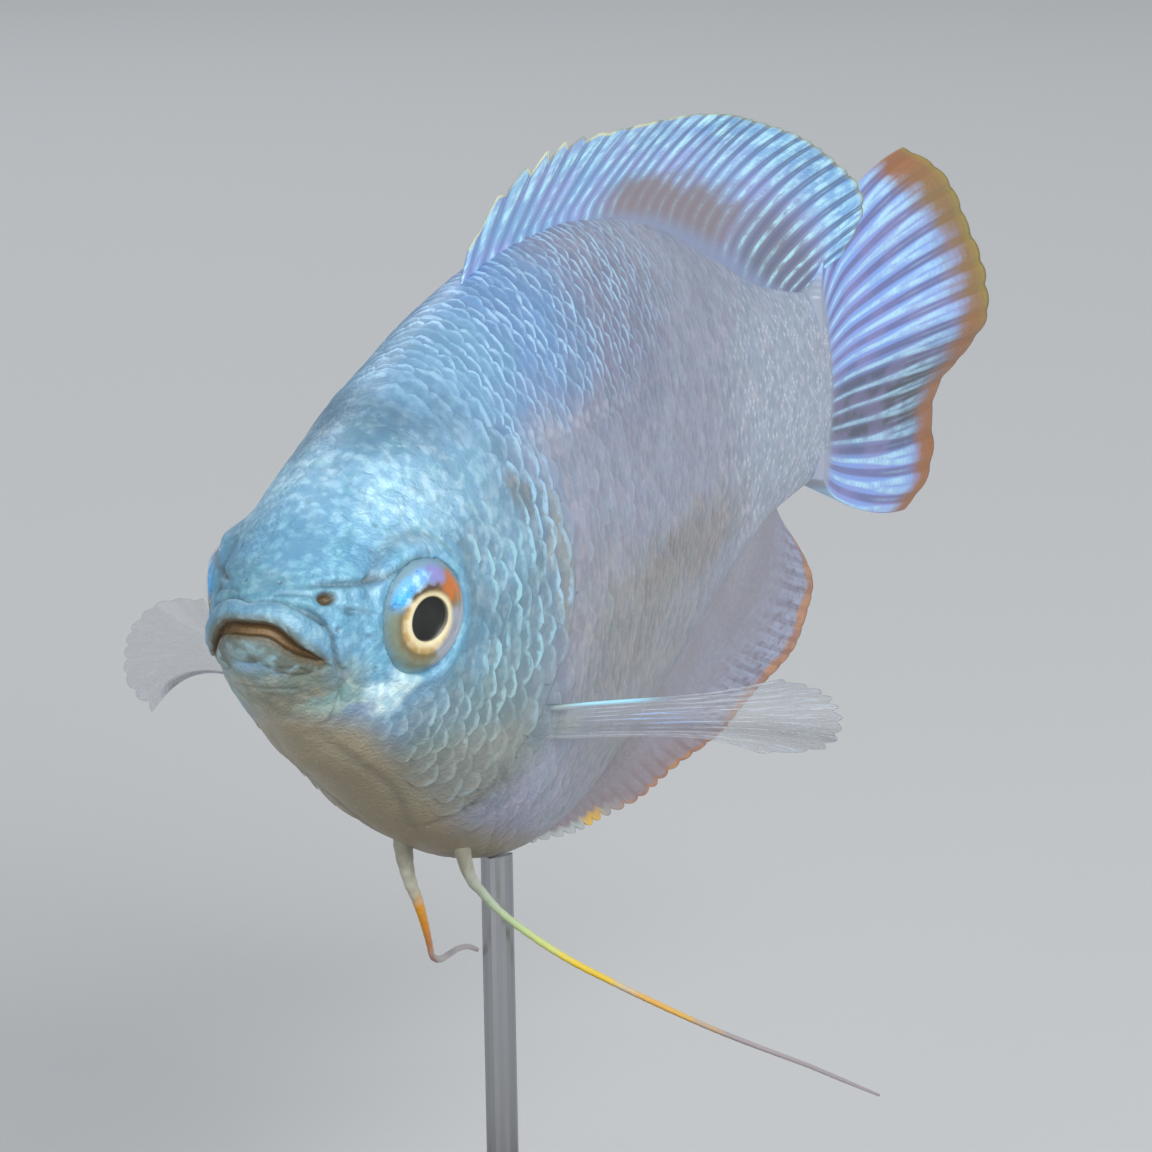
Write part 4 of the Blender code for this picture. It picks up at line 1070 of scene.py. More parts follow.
# %% Write the scale maker
def grow_scales(name, plan, side):
    """One closed mesh of all the scales in the plan, on one side of the fish."""
    across, along, rim = scale_template()
    x, angle, tall, down, length, grown = plan.T
    count = len(plan)
    wide = tall * 0.60 * rng.uniform(0.92, 1.08, count)
    long = tall * length * rng.uniform(0.92, 1.08, count)
    shift = tall * 0.09 * rng.uniform(-1, 1, count)
    phase = rng.uniform(0, 2 * math.pi, count)
    wave = 0.045 * np.sin(3.5 * across[None] + phase[:, None])
    fan = 0.72 + 0.28 * np.sqrt(1 - (0.97 * across[None]) ** 2) + wave
    calm = np.hypot((x - CALM_CENTRE[0]) / CALM_HALF[0],
                    (flank(x, angle)[:, 2] - CALM_CENTRE[1]) / CALM_HALF[1])
    strength = grown * (0.06 + 0.94 * rise(calm, 0.45, 1.20))
    lift = tall * SCALE_LIFT * strength * rng.uniform(0.7, 1.3, count)
    sink = tall * SCALE_SINK
    angle = angle if side > 0 else math.pi - angle
    ring_step = np.linalg.norm(flank(x, angle + 0.01) - flank(x, angle - 0.01), axis=1) / 0.02
    at_x = (x + shift)[:, None] + (along[None] * fan - 0.6) * long[:, None]
    at_x = np.clip(at_x, SNOUT + 0.1, TAIL_BASE + 0.4)
    turned = angle[:, None] + across[None] * (wide / np.maximum(ring_step, 0.3))[:, None]
    ground = read_grid(shaped, at_x, turned)
    out = read_grid(loft_normals, at_x, turned)
    ground[..., 0] += np.clip(at_x - TAIL_BASE, 0, None)
    dome = 0.03 * tall[:, None] * (1 - across[None] ** 2) * along[None]
    top = (lift + sink)[:, None] * rise(along[None], -0.25, 1.0) + dome * grown[:, None]
    top = top - sink[:, None] - 0.05 * (tall * (1 - grown))[:, None]
    thick = SCALE_THICKNESS * tall[:, None]
    upper = ground + out * top[..., None]
    lower = (ground + out * (top - thick)[..., None])[:, rim]
    size, edge = len(across), len(rim)
    points = np.concatenate([upper, lower], axis=1).reshape(-1, 3)
    quads = np.array(grid_faces(len(SCALE_ALONG), SCALE_ACROSS))
    skirt = np.stack([rim, size + np.arange(edge), size + (np.arange(edge) + 1) % edge,
                      np.roll(rim, -1)], -1)
    under = size + np.arange(edge)
    if side > 0:
        quads, skirt, under = quads[:, ::-1], skirt[:, ::-1], under[::-1]
    faces = []
    for index in range(count):
        offset = index * (size + edge)
        faces += (quads + offset).tolist() + (skirt + offset).tolist() + [(under + offset).tolist()]
    every = np.concatenate([np.arange(size), rim])
    chance = np.repeat(rng.uniform(0, 1, count), size + edge)
    own = np.stack([np.tile(across[every], count), np.tile(along[every], count), chance], -1)
    obj = make_piece(name, to_stand(points), faces, "skin", fish=points, scale=own,
                     belly=belly_share(points), grown=np.repeat(grown, size + edge))
    map_roots(obj, np.repeat(np.stack([x, down], -1), size + edge, axis=0), own)
    obj.data.set_sharp_from_angle(angle=math.radians(50))
    return obj


PATCH_SIZE = 0.003


def map_roots(obj, root, own):
    """The coat's map: each scale is a tiny patch where its root lies on the unwrapped skin."""
    spread = np.stack([own[:, 1] - 0.5, 0.5 * own[:, 0]], -1) * PATCH_SIZE
    length = (root[:, 0] - SNOUT) / (TAIL_BASE - SNOUT)
    uv = np.stack([0.02 + 0.96 * length, 0.02 + 0.96 * root[:, 1]], -1) + spread
    corners = np.empty(len(obj.data.loops), int)
    obj.data.loops.foreach_get("vertex_index", corners)
    layer = obj.data.uv_layers.new(name="OFBake")
    layer.data.foreach_set("uv", uv[corners].ravel())


print("scale maker ready")

# %% [markdown]
# ## The coat in six pieces
# Each side of the coat is one mesh for the head and shoulder, one for the middle and one for
# the tail. Smaller meshes are easier to handle, and a change to one leaves the others alone.
# Scales on the very midline of the back and belly belong to the right side only.

# %% Grow the coat
PARTS = (("front", 0.0, 17.0), ("middle", 17.0, 31.0), ("rear", 31.0, 60.0))
coats = []
for label, side in (("left", -1), ("right", 1)):
    on_side = (plan[:, 3] > 1e-6) & (plan[:, 3] < 1 - 1e-6) if side < 0 else plan[:, 3] >= 0
    for part, low, high in PARTS:
        chosen = on_side & (plan[:, 0] >= low) & (plan[:, 0] < high)
        coats.append(grow_scales("scales_" + part + "_" + label, plan[chosen], side))

# %% [markdown]
# ## The scales' finish
# A scale's body is nearly clear over the skin's colour, and its free edge flashes light
# blue. The flash is strong on the shoulder and upper flank, thin and greenish on the
# cheek, and nearly gone in the middle of the flank. Towards the tail each scale has a
# silver dot instead. Each scale's own chance value makes its tone a little its own.

# %% Finish the scales
EDGE_AZURE = (0.460, 0.740, 1.000)
EDGE_CHEEK = (0.410, 0.740, 0.850)
SHADE_VIOLET = (0.130, 0.190, 0.360)
SHADE_TEAL = (0.120, 0.185, 0.205)
DOT_SILVER = (0.780, 0.850, 0.920)
EDGE_LOW = (0.500, 0.620, 0.600)
LATERAL_LINE_Z = 4.2
scale_finish, board, shader = new_material(
    "scale_finish", Coat_Weight=0.18, Coat_Roughness=0.28, Specular_IOR_Level=0.4)
place = board.attribute("fish")
belly = board.attribute("belly", "Fac")
grown = board.attribute("grown", "Fac")
across, along, chance = board.split(board.attribute("scale"))
colours = mark_skin(board, place, belly)

upper = soft_patch(board, place, (19.5, 9.0), (17.0, 6.4))
collar = soft_patch(board, place, (13.4, 0.6), (3.0, 8.5))
cheek = soft_patch(board, place, (9.0, -2.5), (7.5, 9.0))
tail = soft_patch(board, place, (45.0, 0.0), (13.5, 9.0))
flash_zone = board.math("MAXIMUM", upper, board.math("MAXIMUM", collar, cheek))
flicker = board.ramp(board.stretched(place, (1.7, 0.8, 0.7), 1.0, 2.0), 0.40, 0.58)
x, z = board.split(place)["X"], board.split(place)["Z"]
low_cheek = board.times(board.ramp(z, -2.5, -6.5), board.ramp(x, 16.0, 13.0))
own_share = board.scaled(board.ramp(chance, 0.0, 0.5), 0.6, 0.4)
flash_zone = board.times(flash_zone, board.scaled(flicker, 0.70, 0.30), grown, own_share,
                         board.scaled(low_cheek, -0.50, 1.0))
ragged = board.scaled(board.noise(place, 3.0, 2.0), 0.34, -0.17)
edge_place = board.math("ADD", along, ragged)
rim = board.times(board.ramp(edge_place, 0.82, 0.94),
                  board.ramp(board.math("ABSOLUTE", across), 1.05, 0.60))
flash = board.times(rim, board.math("MAXIMUM", flash_zone, 0.12))
flash_colour = board.mix(cheek, EDGE_AZURE, board.mix(low_cheek, EDGE_CHEEK, EDGE_LOW))
dot_along = board.math("POWER", board.math("SUBTRACT", along, 0.82), 2.0)
dot_across = board.times(board.math("POWER", across, 2.0), 0.20)
dot = board.ramp(board.math("SQRT", board.math("ADD", dot_along, dot_across)), 0.26, 0.05)
on_line = board.times(board.near(z, LATERAL_LINE_Z, 0.36, 0.16), board.ramp(x, 31.0, 19.0),
                      0.45, board.ramp(x, 12.5, 15.0))
twinkle = board.times(board.ramp(chance, 0.10, 0.90), board.ramp(flicker, 0.0, 0.8))
dot = board.times(dot, board.math("MAXIMUM", board.times(tail, twinkle), on_line))
tone = board.scaled(chance, 0.22, 0.89)
tone = board.node("CombineXYZ", {0: tone, 1: tone, 2: tone}).outputs[0]
body = board.mix(1.0, colours["Color"], tone, blend="MULTIPLY")
shade = board.times(board.ramp(along, 0.90, 0.60), board.times(flash_zone, 0.50))
body = board.mix(shade, body, board.mix(cheek, SHADE_VIOLET, SHADE_TEAL))
body = board.paint(body, flash_colour, flash, 0.95)
body = board.paint(body, DOT_SILVER, dot, 0.55)
board.put(shader.inputs["Base Color"], body)
glint = board.scaled(board.math("MAXIMUM", flash, dot), 0.20, 0.15)
board.put(shader.inputs["Metallic"], board.times(glint, colours["Shine"]))
board.put(shader.inputs["Roughness"], board.scaled(colours["Mottle"], -0.10, 0.48))
board.relief(shader, board.noise(place, 7.0, 3.0), 0.5, 0.00007)
for coat in coats:
    coat.data.materials.append(scale_finish)
print("coats finished:", len(coats))

# %% [markdown]
# ## The shape of an eye
# An eye is three things: a domed ball with a flat iris, a dark pupil that the iris rings
# in pale gold, and the clear cornea that bulges over both. The ball and the cornea are
# turned profiles, so a row of radii and heights is all that each of them needs.

# %% Write the eye maker
EYE_STEPS = 96
PUPIL = 0.79
PUPIL_STRETCH = 1.10
BALL_EQUATOR = -0.45


def turned_eye(profile, side):
    """Points and faces of a profile of (radius, height) turned about an eye's gaze."""
    turns = np.arange(EYE_STEPS) * 2 * math.pi / EYE_STEPS
    local = [np.stack([r * np.cos(turns), r * np.sin(turns), np.full(EYE_STEPS, h)], -1)
             for r, h in profile[1:-1]]
    local = np.vstack(local + [[(0, 0, profile[0][1])], [(0, 0, profile[-1][1])]])
    rings = len(profile) - 2
    faces = grid_faces(rings, EYE_STEPS, closed=True)
    front, back = rings * EYE_STEPS, rings * EYE_STEPS + 1
    last = (rings - 1) * EYE_STEPS
    faces += [(front, (k + 1) % EYE_STEPS, k) for k in range(EYE_STEPS)]
    faces += [(back, last + k, last + (k + 1) % EYE_STEPS) for k in range(EYE_STEPS)]
    axes = np.stack([EYE_REAR, EYE_UP, GAZE]) * (1, side, 1)
    points = EYE_CENTRE * (1, side, 1) + local @ axes
    if np.dot(np.cross(axes[0], axes[1]), axes[2]) < 0:
        faces = [tuple(reversed(face)) for face in faces]
    return points, faces, local


def eye_profile():
    """The eyeball from the middle of the pupil out over the iris to the back."""
    profile = [(0.0, 0.05), (0.35, 0.06), (PUPIL - 0.06, 0.08), (PUPIL, 0.15), (PUPIL + 0.05, 0.19)]
    for r in np.linspace(PUPIL + 0.12, 1.9, 14):
        profile.append((r, 0.22 - 0.10 * ((r - PUPIL) / 1.2) ** 2 - 0.30 * rise(r, 1.55, 2.0)))
    for turn in range(0, 91, 10):
        angle = math.radians(turn)
        profile.append((EYE_RADIUS * math.cos(angle), BALL_EQUATOR - 1.2 * math.sin(angle)))
    profile[-1] = (0.0, profile[-1][1])
    return profile


def cornea_profile():
    """The clear dome and, behind it, a slightly smaller dome, so that it is a thin shell."""
    outer, inner = [], []
    for share in np.linspace(0, 1, 20):
        r = 2.06 * math.sin(share * math.pi / 2)
        outer.append((r, -0.34 + 0.86 * math.sqrt(max(0.0, 1 - (r / 2.07) ** 2))))
        inner.append((r * 0.985, -0.37 + 0.84 * math.sqrt(max(0.0, 1 - (r / 2.07) ** 2))))
    return outer + inner[::-1]


print("steps round an eye:", EYE_STEPS)

# %% [markdown]
# ## The iris
# The iris is painted by direction round the pupil, as seen from outside: blue in front and
# above, orange behind and above, olive below, lavender behind. One mask picks a sector and
# another picks a ring, and the product of both is the place of a colour.

# %% Paint the iris
OLIVE_BROWN = (0.170, 0.125, 0.045)
OLIVE_PALE = (0.195, 0.245, 0.190)
BLUE_PATCH = (0.050, 0.420, 0.860)
BLUE_PALE = (0.210, 0.440, 0.820)
VIOLET = (0.260, 0.260, 0.600)
ORANGE_RED = (0.520, 0.160, 0.035)
LAVENDER_GREY = (0.310, 0.350, 0.430)
GOLD = (0.480, 0.310, 0.100)
CREAM = (0.820, 0.730, 0.460)
DARK_LINE = (0.060, 0.045, 0.050)
PUPIL_BLACK = (0.010, 0.012, 0.010)
BLUE_SPARK = (0.420, 0.720, 1.000)
BLUE_DEEP = (0.030, 0.130, 0.380)
STRIPE_GREY = (0.20, 0.20, 0.24)
RIM_TEAL = (0.200, 0.360, 0.470)
RING_GLINT = (0.900, 0.800, 0.560)

iris_finish, board, shader = new_material(
    "iris_finish", Coat_Weight=0.15, Coat_Roughness=0.10, Specular_IOR_Level=0.35)
place = board.attribute("iris")
rear, up = board.split(place)[:2]
oval = board.math("DIVIDE", rear, PUPIL_STRETCH)
oval = board.vector("LENGTH", board.node("CombineXYZ", {0: oval, 1: up}).outputs[0])
radius = board.vector("LENGTH", board.vector("MULTIPLY", place, (1.0, 1.0, 0.0)))
fleck = board.stretched(place, (1.0, 1.0, 0.2), 2.4, 4.0)
wander = board.scaled(fleck, 0.50, -0.25)
radius = board.math("ADD", radius, wander)
angle = board.math("ADD", board.math("ARCTAN2", up, rear), wander)
low_front = board.math("ADD", board.times(rear, -0.7), board.times(up, -0.7))
low_front = board.ramp(low_front, -0.9, 0.9)
ring_edge = board.scaled(low_front, 0.24, 0.94)


def sector(low, high, soft=0.22):
    """1 between two directions round the pupil, in radians from the tail side up."""
    return board.times(board.ramp(angle, low - soft, low + soft),
                       board.ramp(angle, high + soft, high - soft))


def band(low, high, soft=0.12):
    """1 between two distances from the middle of the pupil."""
    return board.times(board.ramp(radius, low - soft, low + soft),
                       board.ramp(radius, high + soft, high - soft))


colour = board.mix(board.ramp(radius, 1.22, 1.80), OLIVE_BROWN, OLIVE_PALE)
colour = board.paint(colour, LAVENDER_GREY, sector(-1.30, 0.20))
blue = board.mix(board.ramp(angle, 2.6, 1.7), BLUE_PATCH, BLUE_PALE)
blue = board.mix(board.ramp(fleck, 0.50, 0.62), blue, BLUE_SPARK)
blue = board.mix(board.ramp(fleck, 0.44, 0.34), blue, BLUE_DEEP)
colour = board.paint(colour, blue, sector(1.55, 2.75), band(1.28, 1.86))
colour = board.paint(colour, VIOLET, sector(1.15, 1.60), band(1.25, 1.95))
colour = board.paint(colour, ORANGE_RED, sector(0.42, 1.12), band(1.08, 1.80, 0.16))
stripes = board.ramp(board.math("SINE", board.times(radius, 16.0)), -0.2, 0.8)
colour = board.paint(colour, STRIPE_GREY, sector(-1.2, -0.1), stripes, band(1.15, 1.8), 0.5)
colour = board.paint(colour, RIM_TEAL, board.ramp(radius, 1.70, 2.0), 0.85)
colour = board.paint(colour, DARK_LINE, sector(1.25, 2.95), band(1.06, 1.20, 0.05), 0.85)
ring_inside = board.math("SUBTRACT", ring_edge, 0.08)
ring_outside = board.math("ADD", ring_edge, 0.12)
ring = board.times(board.ramp(oval, PUPIL - 0.03, PUPIL + 0.03),
                   board.ramp(oval, ring_outside, ring_inside))
ring_colour = board.mix(board.ramp(oval, PUPIL + 0.08, PUPIL + 0.34), CREAM, GOLD)
ring_colour = board.mix(board.ramp(fleck, 0.35, 0.80), ring_colour, RING_GLINT)
colour = board.paint(colour, ring_colour, ring)
colour = board.paint(colour, PUPIL_BLACK, board.ramp(oval, PUPIL + 0.02, PUPIL - 0.03))
board.put(shader.inputs["Base Color"], colour)
board.put(shader.inputs["Metallic"], board.times(ring, 0.15))
board.put(shader.inputs["Roughness"], board.scaled(fleck, -0.16, 0.50))
print("iris painted with nodes:", len(iris_finish.node_tree.nodes))

# %% [markdown]
# ## The cornea, and both eyes
# The cornea is clear and wet. As strong a glass as the real one would bend and darken the
# iris, so this shell has a low index and a low alpha, and what shows is its highlight. A
# trace of haze keeps it from looking empty.

# %% Build the eyes
cornea_finish, board, shader = new_material(
    "cornea_finish", Base_Color=(0.97, 0.99, 1.0), Roughness=0.03, IOR=1.12,
    Transmission_Weight=1.0, Specular_IOR_Level=0.5)
haze = board.noise(board.attribute("iris"), 0.7, 1.0)
board.put(shader.inputs["Alpha"], board.scaled(haze, 0.10, 0.10))

for label, side in (("left", -1), ("right", 1)):
    points, faces, local = turned_eye(eye_profile(), side)
    ball = make_piece("eyeball_" + label, to_stand(points), faces, "eyes",
                      ("eye_" + label,), iris=local)
    ball.data.materials.append(iris_finish)
    points, faces, local = turned_eye(cornea_profile(), side)
    dome = make_piece("cornea_" + label, to_stand(points), faces, "eyes",
                      ("eye_" + label,), iris=local)
    dome.data.materials.append(cornea_finish)

# %% [markdown]
# ## A fin is a sheet over rays
# A fin is a thin skin stretched over bony rays. The front rays of the back and belly fins
# are stiff pointed spines. The others are soft, jointed, and split in two or four towards
# the edge. One function makes every fin as a grid: it follows a middle surface, thickens
# over each ray, sinks between rays, and cuts the margin back between the tips.


# %% Write the fin maker
def fork_offset(off, along, soft, fork):
    """Distance from the nearest branch, where rays split in two and again in two."""
    first = 0.17 * soft * rise(along, fork, fork + 0.35)
    second = 0.075 * soft * rise(along, fork + 0.25, fork + 0.60)
    return np.abs(np.abs(off - first) - second)


def fin_piece(name, middle, rays, rows, soft_from, notch, tip_shape, slot, per_ray=12,
              root_half=0.45, root_end=0.22, root_taper=0.0, membrane=0.035, ridge=0.055, fork=0.45):
    """A closed fin over rays. From the share soft_from on, the rays are branched."""
    columns = (rays - 1) * per_ray + 1
    across = np.linspace(0, 1, columns)[:, None]
    along = np.linspace(0, 1, rows)[None, :] ** 0.9
    ray = across * (rays - 1)
    number = np.rint(ray)
    off = np.abs(ray - number)
    soft = rise(number / (rays - 1), soft_from - 0.02, soft_from + 0.02)
    chance = np.random.default_rng(len(name) * 7 + rays).random(rays)[number.astype(int)]
    cut = notch(across) * (0.6 + 0.8 * chance) * (2 * off) ** tip_shape(across)
    grid = middle(across + 0 * along, along * (1 - np.clip(cut, 0, 0.6)))
    normal = np.cross(np.gradient(grid, axis=0), np.gradient(grid, axis=1))
    normal = normal / np.maximum(np.linalg.norm(normal, axis=2, keepdims=True), 1e-9)
    sag = 0.25 * ridge * np.cos(2 * math.pi * ray) * rise(along, root_end, 0.8)
    grid = grid + normal * sag[..., None]
    from_branch = fork_offset(off, along, soft, fork)
    sharp = ridge * (1 - 0.5 * along) * hump(from_branch, 0.09 + 0.06 * (1 - soft))
    sharp = sharp * rise(along, root_end, 0.6)
    root = np.clip(1 - along / root_end, 0, 1) ** 1.5
    half = (membrane + sharp) * (1 - 0.35 * along)
    half = half * (1 - root) + root_half * root * (1 - root_taper * rise(across, 0.65, 1.0))
    front = (grid + normal * half[..., None]).reshape(-1, 3)
    behind = (grid - normal * half[..., None]).reshape(-1, 3)
    size = columns * rows
    quads = np.array(grid_faces(columns, rows))
    faces = quads.tolist() + (quads[:, ::-1] + size).tolist()
    rim = [c * rows for c in range(columns)] + [(columns - 1) * rows + r for r in range(1, rows)]
    rim += [c * rows + rows - 1 for c in range(columns - 2, -1, -1)] + list(range(rows - 2, 0, -1))
    for here, after in zip(rim, rim[1:] + rim[:1]):
        faces.append((after, here, size + here, size + after))
    own = np.stack([ray + 0 * along, along + 0 * ray, soft + 0 * along], -1).reshape(-1, 3)
    obj = make_piece(name, to_stand(np.vstack([front, behind])), faces, slot, (name,),
                     fin=np.vstack([own, own]))
    turn_faces_out(obj)
    return obj


def turn_faces_out(obj):
    """Make every face of a closed mesh look outwards."""
    shape = bmesh.new()
    shape.from_mesh(obj.data)
    bmesh.ops.recalc_face_normals(shape, faces=shape.faces)
    shape.to_mesh(obj.data)
    shape.free()


def arched(root, tip, arch, share):
    """A ray from root to tip that arches up by about this much at its middle."""
    share = share[..., None]
    lift = np.zeros_like(root)
    lift[..., 2] = arch
    lift[..., 0] = -0.6 * np.abs(arch)
    return root + (tip - root) * share + 4 * lift * share * (1 - share)


print("fin maker ready")

# %% [markdown]
# ## The dorsal and anal fins
# Both long fins grow out of a groove in the body's edge. Each ray is known by its share of
# the base and the place of its tip, and the tips between are read from a smooth curve. The
# rays lean well back, and the rear lobes swing a little to one side so that they pass the
# tail fin.

# %% Build the dorsal and anal fins
DORSAL_BASE = (17.0, 48.6)
DORSAL_TIPS = (
    # share of the base, x and z of the tip, lean to the right, arch
    (0.00, 18.4, 10.3, 0.0, 0.0),
    (0.04, 21.0, 12.0, 0.0, 0.0),
    (0.08, 23.6, 12.8, 0.0, 0.0),
    (0.14, 26.8, 13.15, 0.0, 0.05),
    (0.20, 29.8, 13.1, 0.0, 0.1),
    (0.32, 35.3, 12.97, -0.05, 0.2),
    (0.46, 40.8, 12.65, -0.2, 0.3),
    (0.60, 45.2, 11.8, -0.4, 0.4),
    (0.70, 48.4, 10.8, -0.6, 0.5),
    (0.79, 51.2, 9.6, -0.75, 0.5),
    (0.86, 53.0, 8.4, -0.8, 0.3),
    (0.93, 53.4, 7.0, -0.8, 0.1),
    (1.00, 52.2, 5.4, -0.6, 0.1),
)
ANAL_BASE = (21.6, 46.4)
ANAL_TIPS = (
    (0.00, 22.9, -12.9, 0.0, 0.0),
    (0.10, 26.6, -13.35, 0.0, 0.0),
    (0.24, 31.0, -13.5, 0.0, 0.1),
    (0.40, 37.1, -13.1, 0.0, 0.2),
    (0.54, 42.4, -12.35, 0.0, 0.3),
    (0.66, 46.6, -11.3, 0.1, 0.4),
    (0.76, 49.6, -10.2, 0.2, 0.4),
    (0.84, 50.9, -8.6, 0.3, 0.3),
    (0.92, 49.6, -6.8, 0.2, 0.1),
    (1.00, 47.6, -4.9, 0.1, 0.0),
)
DORSAL_RAYS = 29
ANAL_RAYS = 34
ROOT_SINK = 0.7
RIPPLE = 0.10


def median_middle(base, tips, edge):
    """The middle surface of the dorsal (edge 0) or the anal fin (edge 1)."""
    table = np.array(tips)
    up = 1 if edge == 0 else -1

    def middle(across, along):
        tip_x, tip_z, lean, arch = np.moveaxis(smooth(table[:, 0], table[:, 1:], across), -1, 0)
        root_x = base[0] + (base[1] - base[0]) * across
        root = np.stack([root_x, 0 * root_x, section(root_x)[edge]], -1)
        sunk = root + (-0.3 * ROOT_SINK, 0.0, -up * ROOT_SINK)
        points = arched(sunk, np.stack([tip_x, lean, tip_z], -1), up * arch, along)
        wave = np.sin(across * 31.0 + along * 2.0) * RIPPLE
        points[..., 1] = lean * along**2 + wave * along**1.5
        return points

    return middle


dorsal = fin_piece(
    "dorsal_fin", median_middle(DORSAL_BASE, DORSAL_TIPS, 0), DORSAL_RAYS, 48, 0.60,
    lambda across: 0.012 + 0.13 * rise(across, 0.30, 0.03), lambda across: 1.2 + 0 * across,
    "dorsal_fin", per_ray=16, root_half=0.70, root_end=0.28, root_taper=0.7, membrane=0.045,
    ridge=0.040, fork=0.50)
anal = fin_piece(
    "anal_fin", median_middle(ANAL_BASE, ANAL_TIPS, 1), ANAL_RAYS, 44, 0.50,
    lambda across: 0.012 + 0.12 * rise(across, 0.55, 0.05), lambda across: 2.2 + 0 * across,
    "anal_fin", per_ray=14, root_half=0.90, root_end=0.50, root_taper=0.6, membrane=0.045,
    ridge=0.020, fork=0.50)

# %% [markdown]
# ## The tail fin
# The tail fin opens like a fan from the end of the stalk. It has about sixteen main rays,
# which fork twice. Its lower lobe curls to the fish's right, which the picture shows as a
# turned-in edge. At its root it is as thick as the stalk, so the two pass into each other.

# %% Build the tail fin
CAUDAL_TIPS = (
    (0.00, 58.8, 9.15, 0.0, 0.95),
    (0.10, 61.3, 8.1, 0.0, 0.70),
    (0.20, 63.2, 6.5, 0.0, 0.50),
    (0.30, 64.6, 4.7, 0.0, 0.30),
    (0.42, 65.5, 2.6, 0.0, 0.15),
    (0.53, 65.9, 0.7, 0.1, 0.0),
    (0.61, 65.8, -0.7, 1.25, -0.10),
    (0.70, 65.5, -1.9, 2.2, -0.20),
    (0.79, 65.1, -3.4, 2.4, -0.30),
    (0.88, 64.4, -5.1, 2.1, -0.40),
    (0.95, 63.1, -6.4, 1.8, -0.50),
    (1.00, 61.4, -7.1, 1.6, -0.55),
)
back, belly_edge = section(TAIL_BASE)[:2]


def caudal_middle(across, along):
    """The middle surface of the tail fin, from inside the stalk to its tips."""
    table = np.array(CAUDAL_TIPS)
    tip_x, tip_z, lean, arch = np.moveaxis(smooth(table[:, 0], table[:, 1:], across), -1, 0)
    root_z = (back + (belly_edge - back) * across) * 0.97
    root = np.stack([TAIL_BASE - 0.6 + 0 * root_z, 0 * root_z, root_z], -1)
    points = arched(root, np.stack([tip_x, lean, tip_z], -1), arch, along)
    points[..., 1] = lean * along**2 + RIPPLE * np.sin(across * 25.0 + 1.0) * along**1.5
    return points


caudal = fin_piece(
    "caudal_fin", caudal_middle, 16, 60, 0.0,
    lambda across: 0.006 + 0 * across, lambda across: 1.6 + 0 * across,
    "caudal_fin", per_ray=22, root_half=0.82, root_end=0.32, membrane=0.05, ridge=0.060, fork=0.42)

# %% [markdown]
# ## The pectoral fins
# A gourami rows with its pectoral fins. They are clear fans of about ten soft rays on a
# short root low on the flank. The left one trails back along the body and the right one
# is spread, seen past the head.

# %% Build the pectoral fins
# x and z of the fleshy root's two ends, then x, y and z of the tips from top to bottom
PECTORAL_ROOT = np.array(((13.7, -5.30), (14.0, -6.60)))
LEFT_TIPS = (
    (25.6, -9.0, -6.5), (26.5, -10.2, -7.0), (26.6, -10.9, -7.6),
    (26.9, -10.9, -8.5), (27.2, -10.1, -9.4), (23.7, -8.9, -8.9),
)
RIGHT_TIPS = (
    (21.9, 13.2, -4.2), (20.4, 14.3, -4.1), (20.0, 15.3, -5.0),
    (20.0, 15.7, -6.1), (20.0, 15.6, -7.3), (20.6, 14.9, -8.5),
)


def pectoral_middle(side, tips, bow):
    """The middle surface of one pectoral fin, narrow at its root and fanned out at its tips."""
    table = np.array(tips)
    knots = np.linspace(0, 1, len(table))

    def middle(across, along):
        foot = PECTORAL_ROOT[0] + (PECTORAL_ROOT[1] - PECTORAL_ROOT[0]) * across[..., None]
        root = flank_at(foot[..., 0], foot[..., 1], side)
        tip = smooth(knots, table, across)
        centre_root = flank_at(*PECTORAL_ROOT.mean(0), side)
        centre_tip = smooth(knots, table, np.array([0.5]))[0]
        away = (tip - root) / np.linalg.norm(tip - root, axis=-1, keepdims=True)
        inside = root - away * 0.7
        points = inside + (tip - inside) * along[..., None]
        axis = centre_root + (centre_tip - centre_root) * along[..., None]
        gather = 0.30 * np.sin(np.clip(along, 0, 1) * math.pi) ** 1.2
        points = points + (axis - points) * gather[..., None] * (1, 0.6, 1)
        bulge = 4 * along * (1 - along)
        points[..., 1] += side * 0.5 * bulge
        points[..., 2] += (bow[0] + (bow[1] - bow[0]) * across) * bulge
        return points

    return middle


PECTORALS = (("left", -1, LEFT_TIPS, (0.25, 0.1)), ("right", 1, RIGHT_TIPS, (0.3, 1.1)))
pectorals = []
for label, side, tips, bow in PECTORALS:
    pectorals.append(fin_piece(
        "pectoral_fin_" + label, pectoral_middle(side, tips, bow), 11, 48, 0.0,
        lambda across: 0.030 + 0 * across, lambda across: 1.3 + 0 * across,
        "pectoral_fins", per_ray=16, root_half=0.16, membrane=0.022, ridge=0.030, fork=0.30))

# %% [markdown]
# ## Finishes for the fins
# All fins share one idea, so it is one node group: pale streaks run along the rays and
# break up into dashes, the skin between the rays is darker, and the streaks fade into a
# coloured margin. Each fin places the group with its own numbers and adds its own colours.

